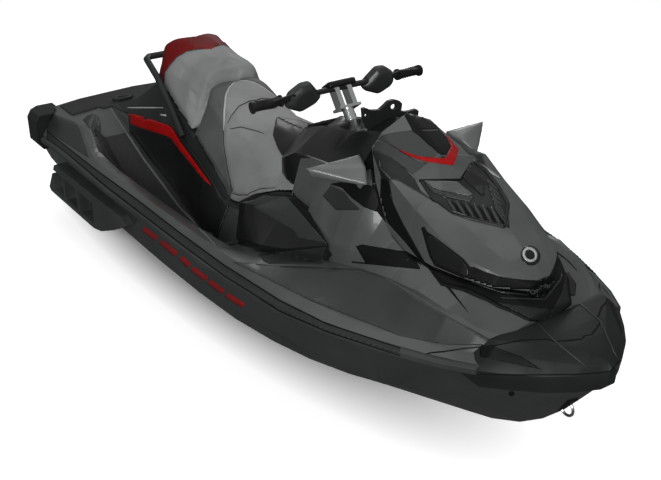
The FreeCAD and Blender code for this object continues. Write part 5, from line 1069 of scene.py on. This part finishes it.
@dataclass
class Saddle:
    """Two padded seats: voxel mesh, swollen by pressure, then seams and colours."""

    voxel: float = 0.008
    rounds: int = 10
    shrink: float = 0.003
    pressure: float = 4.0
    cap: float = 0.010
    frames: int = 20
    groove_radius: float = 0.013
    groove_depth: float = 0.005
    base_slope: float = -0.4
    quality: int = 4
    red_behind: float = -0.86
    never_behind: float = -9.0
    red_band: Outline = (
        (164, 96), (146, 88), (146, 60), (152, 38), (165, 26), (190, 20), (215, 26), (240, 46), (236, 60),
        (220.7, 51.2), (209.4, 49), (198, 49.3), (186.7, 51.2), (176.5, 57.4), (169.7, 65.4), (165, 71.6),
        (164, 81.2),
    )
    side_panel: Outline = (
        (180, 60), (172, 150), (195, 185), (228.6, 205), (232.6, 190), (227.5, 167),
        (224, 145), (223.5, 127.7), (225, 99.4), (227.5, 89), (232, 82.4), (232, 76.7), (224, 70),
    )
    passenger_seams: tuple[Outline, ...] = (
        ((164, 81.2), (165, 71.6), (169.7, 65.4), (176.5, 57.4), (186.7, 51.2), (198, 49.3), (203, 49)),
    )
    driver_seams: tuple[Outline, ...] = (
        ((232.6, 190), (227.5, 167), (224, 145), (223.5, 127.7), (225, 99.4), (227.5, 89), (232, 82.4),
         (237, 79.5)),
        ((230, 129), (241, 127), (254.7, 130.5), (264, 133.4)),
        ((227.5, 123), (231, 116.4), (239, 106), (250, 101), (266, 99.4)),
        ((228.5, 170), (232, 193), (238.7, 195), (247.5, 195), (249.7, 193), (259.3, 189), (275.4, 187.6)),
    )
    driver_covers: tuple[Trace, ...] = (
        Trace("console_wing", ((284, 109), (276, 119.8), (273.3, 135.9), (278.7, 149.3), (288, 164),
            (291.4, 174.7), (300, 180), (318, 160), (330, 118), (318, 104), (300, 100)), ("seat_driver",),
            INSERT_BLACK, 5.0),
        # Painted highlight: a light strip along the crest of the top pad's bead
        Trace("top_pad_bead_highlight", ((223.8, 130.5), (224.4, 111.8), (225.8, 95.7), (229, 87.7), (235, 82)),
            ("seat_driver",), PIPING_HIGHLIGHT, 2.0, 1.7, taper=0.3, slot="seat_grey"),
    )

    def swell(self, item: bpy.types.Object) -> None:
        """Blows the cover up by cloth pressure from its pinned underside, and caps how far it moves."""
        base = [vert.co.copy() for vert in item.data.vertices]
        pinned = [vert.index for vert in item.data.vertices if vert.normal.z < self.base_slope]
        group = item.vertex_groups.new(name="seat_base")
        group.add(pinned, 1.0, "REPLACE")
        cloth = item.modifiers.new("padding", "CLOTH")
        settings = cloth.settings
        settings.quality = self.quality
        settings.use_pressure = True
        settings.uniform_pressure_force = self.pressure
        settings.vertex_group_mass = group.name
        settings.effector_weights.gravity = 0
        cloth.point_cache.frame_start = 1
        cloth.point_cache.frame_end = self.frames
        for frame in range(1, self.frames + 1):
            bpy.context.scene.frame_set(frame)
        swollen = item.evaluated_get(bpy.context.evaluated_depsgraph_get()).data
        moved = [vert.co.copy() for vert in swollen.vertices]
        item.modifiers.remove(cloth)
        item.vertex_groups.remove(group)
        for vert, old, new in zip(item.data.vertices, base, moved):
            offset = new - old
            if offset.length > self.cap:
                offset *= self.cap / offset.length
            vert.co = old + offset
        bpy.context.scene.frame_set(1)

    def press_seams(self, shop: Workshop, item: bpy.types.Object, seams: tuple[Outline, ...]) -> None:
        """Pulls the cover in along its sewn lines, on both sides."""
        skin = Skin([item.data])
        start = Vector(shop.sight.place)
        sewn = []
        for seam in seams:
            for pixel in even_steps(seam, 1.0):
                landed = skin.land(start, shop.sight.line(pixel.x, pixel.y))
                if landed is not None:
                    sewn += [landed[0], landed[0] * MIRROR_IMAGE]
        tree = KDTree(len(sewn))
        for index, point in enumerate(sewn):
            tree.insert(point, index)
        tree.balance()
        for vert in item.data.vertices:
            distance = tree.find(vert.co)[2]
            if distance < self.groove_radius:
                share = 1 - distance / self.groove_radius
                vert.co -= vert.normal * self.groove_depth * share * share * (3 - 2 * share)

    def paint(self, shop: Workshop, item: bpy.types.Object, outline: Outline, finish: Finish,
              behind: float) -> None:
        """Gives the faces inside an outline, and those behind a station, another finish."""
        item.data.materials.append(shop.material(finish))
        for face in item.data.polygons:
            centre = face.center.copy()
            centre.y = -abs(centre.y)
            if inside(shop.sight.pixel(centre), outline) or centre.x < behind:
                face.material_index = 1

    def seat(self, shop: Workshop, node: str, slot: str, outline: Outline, second: Finish, behind: float,
             seams: tuple[Outline, ...], covers: tuple[Trace, ...] = ()) -> None:
        """Makes one seat.

        Args:
            shop: The workshop.
            node: CAD node that it stands for.
            slot: Material slot of the record.
            outline: Pixels round the part with the second cover.
            second: The second cover.
            behind: Station behind which the second cover goes all round.
            seams: Sewn lines.
            covers: Pieces that lie on the seat.
        """
        mesh = shop.even_mesh(node, self.voxel, self.rounds, self.shrink)
        item = shop.add(node + "_cushion", mesh, SEAT_GREY, slot, crease=shop.soft_crease)
        self.swell(item)
        self.press_seams(shop, item, seams)
        self.paint(shop, item, outline, second, behind)
        smooth = item.modifiers.new("cover", "SUBSURF")
        smooth.levels = 1
        smooth.render_levels = 1
        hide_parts(node)
        skin = Skin([item.data])
        for index, seam in enumerate(seams, start=1):
            piping = f"{node}_piping_{index}"
            shop.trace(Trace(piping, seam, (node,), SEAM_THREAD, 1.2, 1.1, taper=0.6, slot=slot), skin)
        for cover in covers:
            shop.trace(cover, skin)

    def build(self, shop: Workshop) -> None:
        """Builds both seats."""
        self.seat(shop, "seat_passenger", "seat_red", self.red_band, SEAT_RED, self.red_behind,
                  self.passenger_seams)
        self.seat(shop, "seat_driver", "seat_grey", self.side_panel, SEAT_SIDE, self.never_behind,
                  self.driver_seams, self.driver_covers)


@dataclass
class Studio:
    """Floor, lights, world and camera of a plain pale studio."""

    sight: Sight
    floor_size: float = 60.0
    lit_paper: str = "#7c7c7c"
    seen_paper: str = "#fbfbfb"
    paper_glow: float = 0.6
    # Painted shadow under the hull: an ellipse in plan where the camera-only glow is left out, its soft rim
    # in shares of its size, and its end astern
    shade_centre: float = -0.7
    shade_length: float = 1.92
    shade_width: float = 0.5
    shade_rim: tuple[float, float] = (0.72, 1.08)
    shade_end: tuple[float, float] = (-1.45, -1.7)
    sky_levels: tuple[float, float] = (0.10, 0.34)
    glossy_share: float = 0.1
    lens_mm: float = 56.64
    sensor_mm: float = 36.0
    far_clip: float = 200.0

    def make_floor(self) -> None:
        """Adds a pale floor. Its glow, seen by the camera only, is left out in an ellipse under the hull,
        which paints the hull's shadow there.
        """
        mesh = bmesh.new()
        bmesh.ops.create_grid(mesh, x_segments=1, y_segments=1, size=self.floor_size / 2)
        data = store("studio_floor", mesh)
        data.transform(Matrix.Translation((0, 0, KEEL_HEIGHT - MILLIMETRE)))
        floor = put("studio_floor", data)
        material = bpy.data.materials.new("seamless_paper")
        tree = empty_tree(material)
        node = partial(add_node, tree)
        path = node("LightPath")
        tone = node("Mix", {0: (path, "Is Camera Ray"), 6: linear(self.lit_paper),
                            7: linear(self.seen_paper)}, data_type="RGBA")
        paper = node("BsdfDiffuse", {"Color": (tone, 2)})
        place = node("TexCoord")
        plan = node("Mapping", {"Vector": (place, 3),
                                "Location": (-self.shade_centre / self.shade_length, 0.0, 0.0),
                                "Scale": (1 / self.shade_length, 1 / self.shade_width, 0.0)})
        reach = node("VectorMath", {0: (plan, 0)}, operation="LENGTH")
        parts = node("SeparateXYZ", {0: (place, 3)})
        beside, astern = (
            node("MapRange", {0: source, 1: ends[0], 2: ends[1], 3: 0.0, 4: self.paper_glow})
            for source, ends in (((reach, 1), self.shade_rim), ((parts, 0), self.shade_end)))
        clear = node("Math", {0: (beside, 0), 1: (astern, 0)}, operation="MAXIMUM")
        share = node("Math", {0: (path, "Is Camera Ray"), 1: (clear, 0)}, operation="MULTIPLY")
        glow = node("Emission", {"Color": WHITE, "Strength": (share, 0)})
        mixed = node("AddShader", {0: (paper, 0), 1: (glow, 0)})
        out = node("OutputMaterial")
        tree.links.new(mixed.outputs[0], out.inputs[0])
        data.materials.append(material)

    def make_world(self) -> None:
        """Sets a soft sky, brighter overhead, and white to the camera and through glass."""
        world = bpy.data.worlds.new("studio_world")
        bpy.context.scene.world = world
        tree = empty_tree(world)
        node = partial(add_node, tree)
        path = node("LightPath")
        seen = node("Math", {0: (path, "Is Camera Ray"), 1: (path, "Is Transmission Ray")},
                    operation="MAXIMUM")
        place = node("TexCoord")
        parts = node("SeparateXYZ", {0: (place, 0)})
        level = node("MapRange", {0: (parts, 2), 1: -0.1, 2: 0.9, 3: self.sky_levels[0],
                                  4: self.sky_levels[1]})
        sky = node("Background", {"Color": WHITE, "Strength": (level, 0)})
        glossy = node("Math", {0: (path, "Is Glossy Ray"), 1: self.glossy_share}, operation="MULTIPLY")
        share = node("Math", {0: (seen, 0), 1: (glossy, 0)}, operation="MAXIMUM")
        white = node("Background", {"Color": WHITE, "Strength": 1.0})
        mixed = node("MixShader", {0: (share, 0), 1: (sky, 0), 2: (white, 0)})
        out = node("OutputWorld")
        tree.links.new(mixed.outputs[0], out.inputs[0])

    def add_lamp(self, name: str, place: tuple[float, float, float], aim: tuple[float, float, float],
                 size: tuple[float, float], power: float) -> None:
        """Adds one rectangular soft lamp.

        Args:
            name: Lamp name.
            place: Where it hangs.
            aim: Point that it faces.
            size: Width and height.
            power: Watts.
        """
        lamp = bpy.data.lights.new(name, "AREA")
        lamp.shape = "RECTANGLE"
        lamp.size, lamp.size_y = size
        lamp.energy = power
        item = put(name, lamp)
        item.location = place
        item.rotation_euler = (Vector(aim) - Vector(place)).to_track_quat("-Z", "Y").to_euler()

    def make_camera(self) -> None:
        """Adds the camera at the photograph's viewpoint."""
        camera = bpy.data.cameras.new("camera")
        camera.lens = self.lens_mm
        camera.sensor_width = self.sensor_mm
        camera.sensor_fit = "HORIZONTAL"
        camera.clip_end = self.far_clip
        item = put("camera", camera)
        item.location = self.sight.place
        item.rotation_euler = Euler((math.pi / 2 + self.sight.pitch, 0, self.sight.yaw - math.pi / 2))
        bpy.context.scene.camera = item

    def build(self) -> None:
        """Builds the whole studio."""
        self.make_floor()
        self.make_world()
        self.make_camera()
        self.add_lamp("top_softbox", (-0.4, 0.4, 4.2), (0.1, 0, 0), (5.0, 2.6), 34)
        self.add_lamp("key_softbox", (6.6, -6.0, 4.0), (0.0, 0, 0.1), (4.5, 3.0), 560)
        self.add_lamp("rim_softbox", (-3.5, 3.5, 2.6), (0, 0, 0.3), (3.0, 1.6), 40)
        bpy.context.scene.view_settings.view_transform = "Standard"
        LOG.info("studio ready")


def main() -> None:
    """Builds the looks in order."""
    logging.basicConfig(level=logging.INFO)
    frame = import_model()
    shop = Workshop(frame, Sight())
    shop.dress_nodes()
    for maker in (HULL, UPPER_DECK, COWLING, Mirrors(), Bracket(), Hood(), Controls(), Saddle()):
        maker.build(shop)
    Studio(shop.sight).build()


if __name__ == "__main__":
    main()
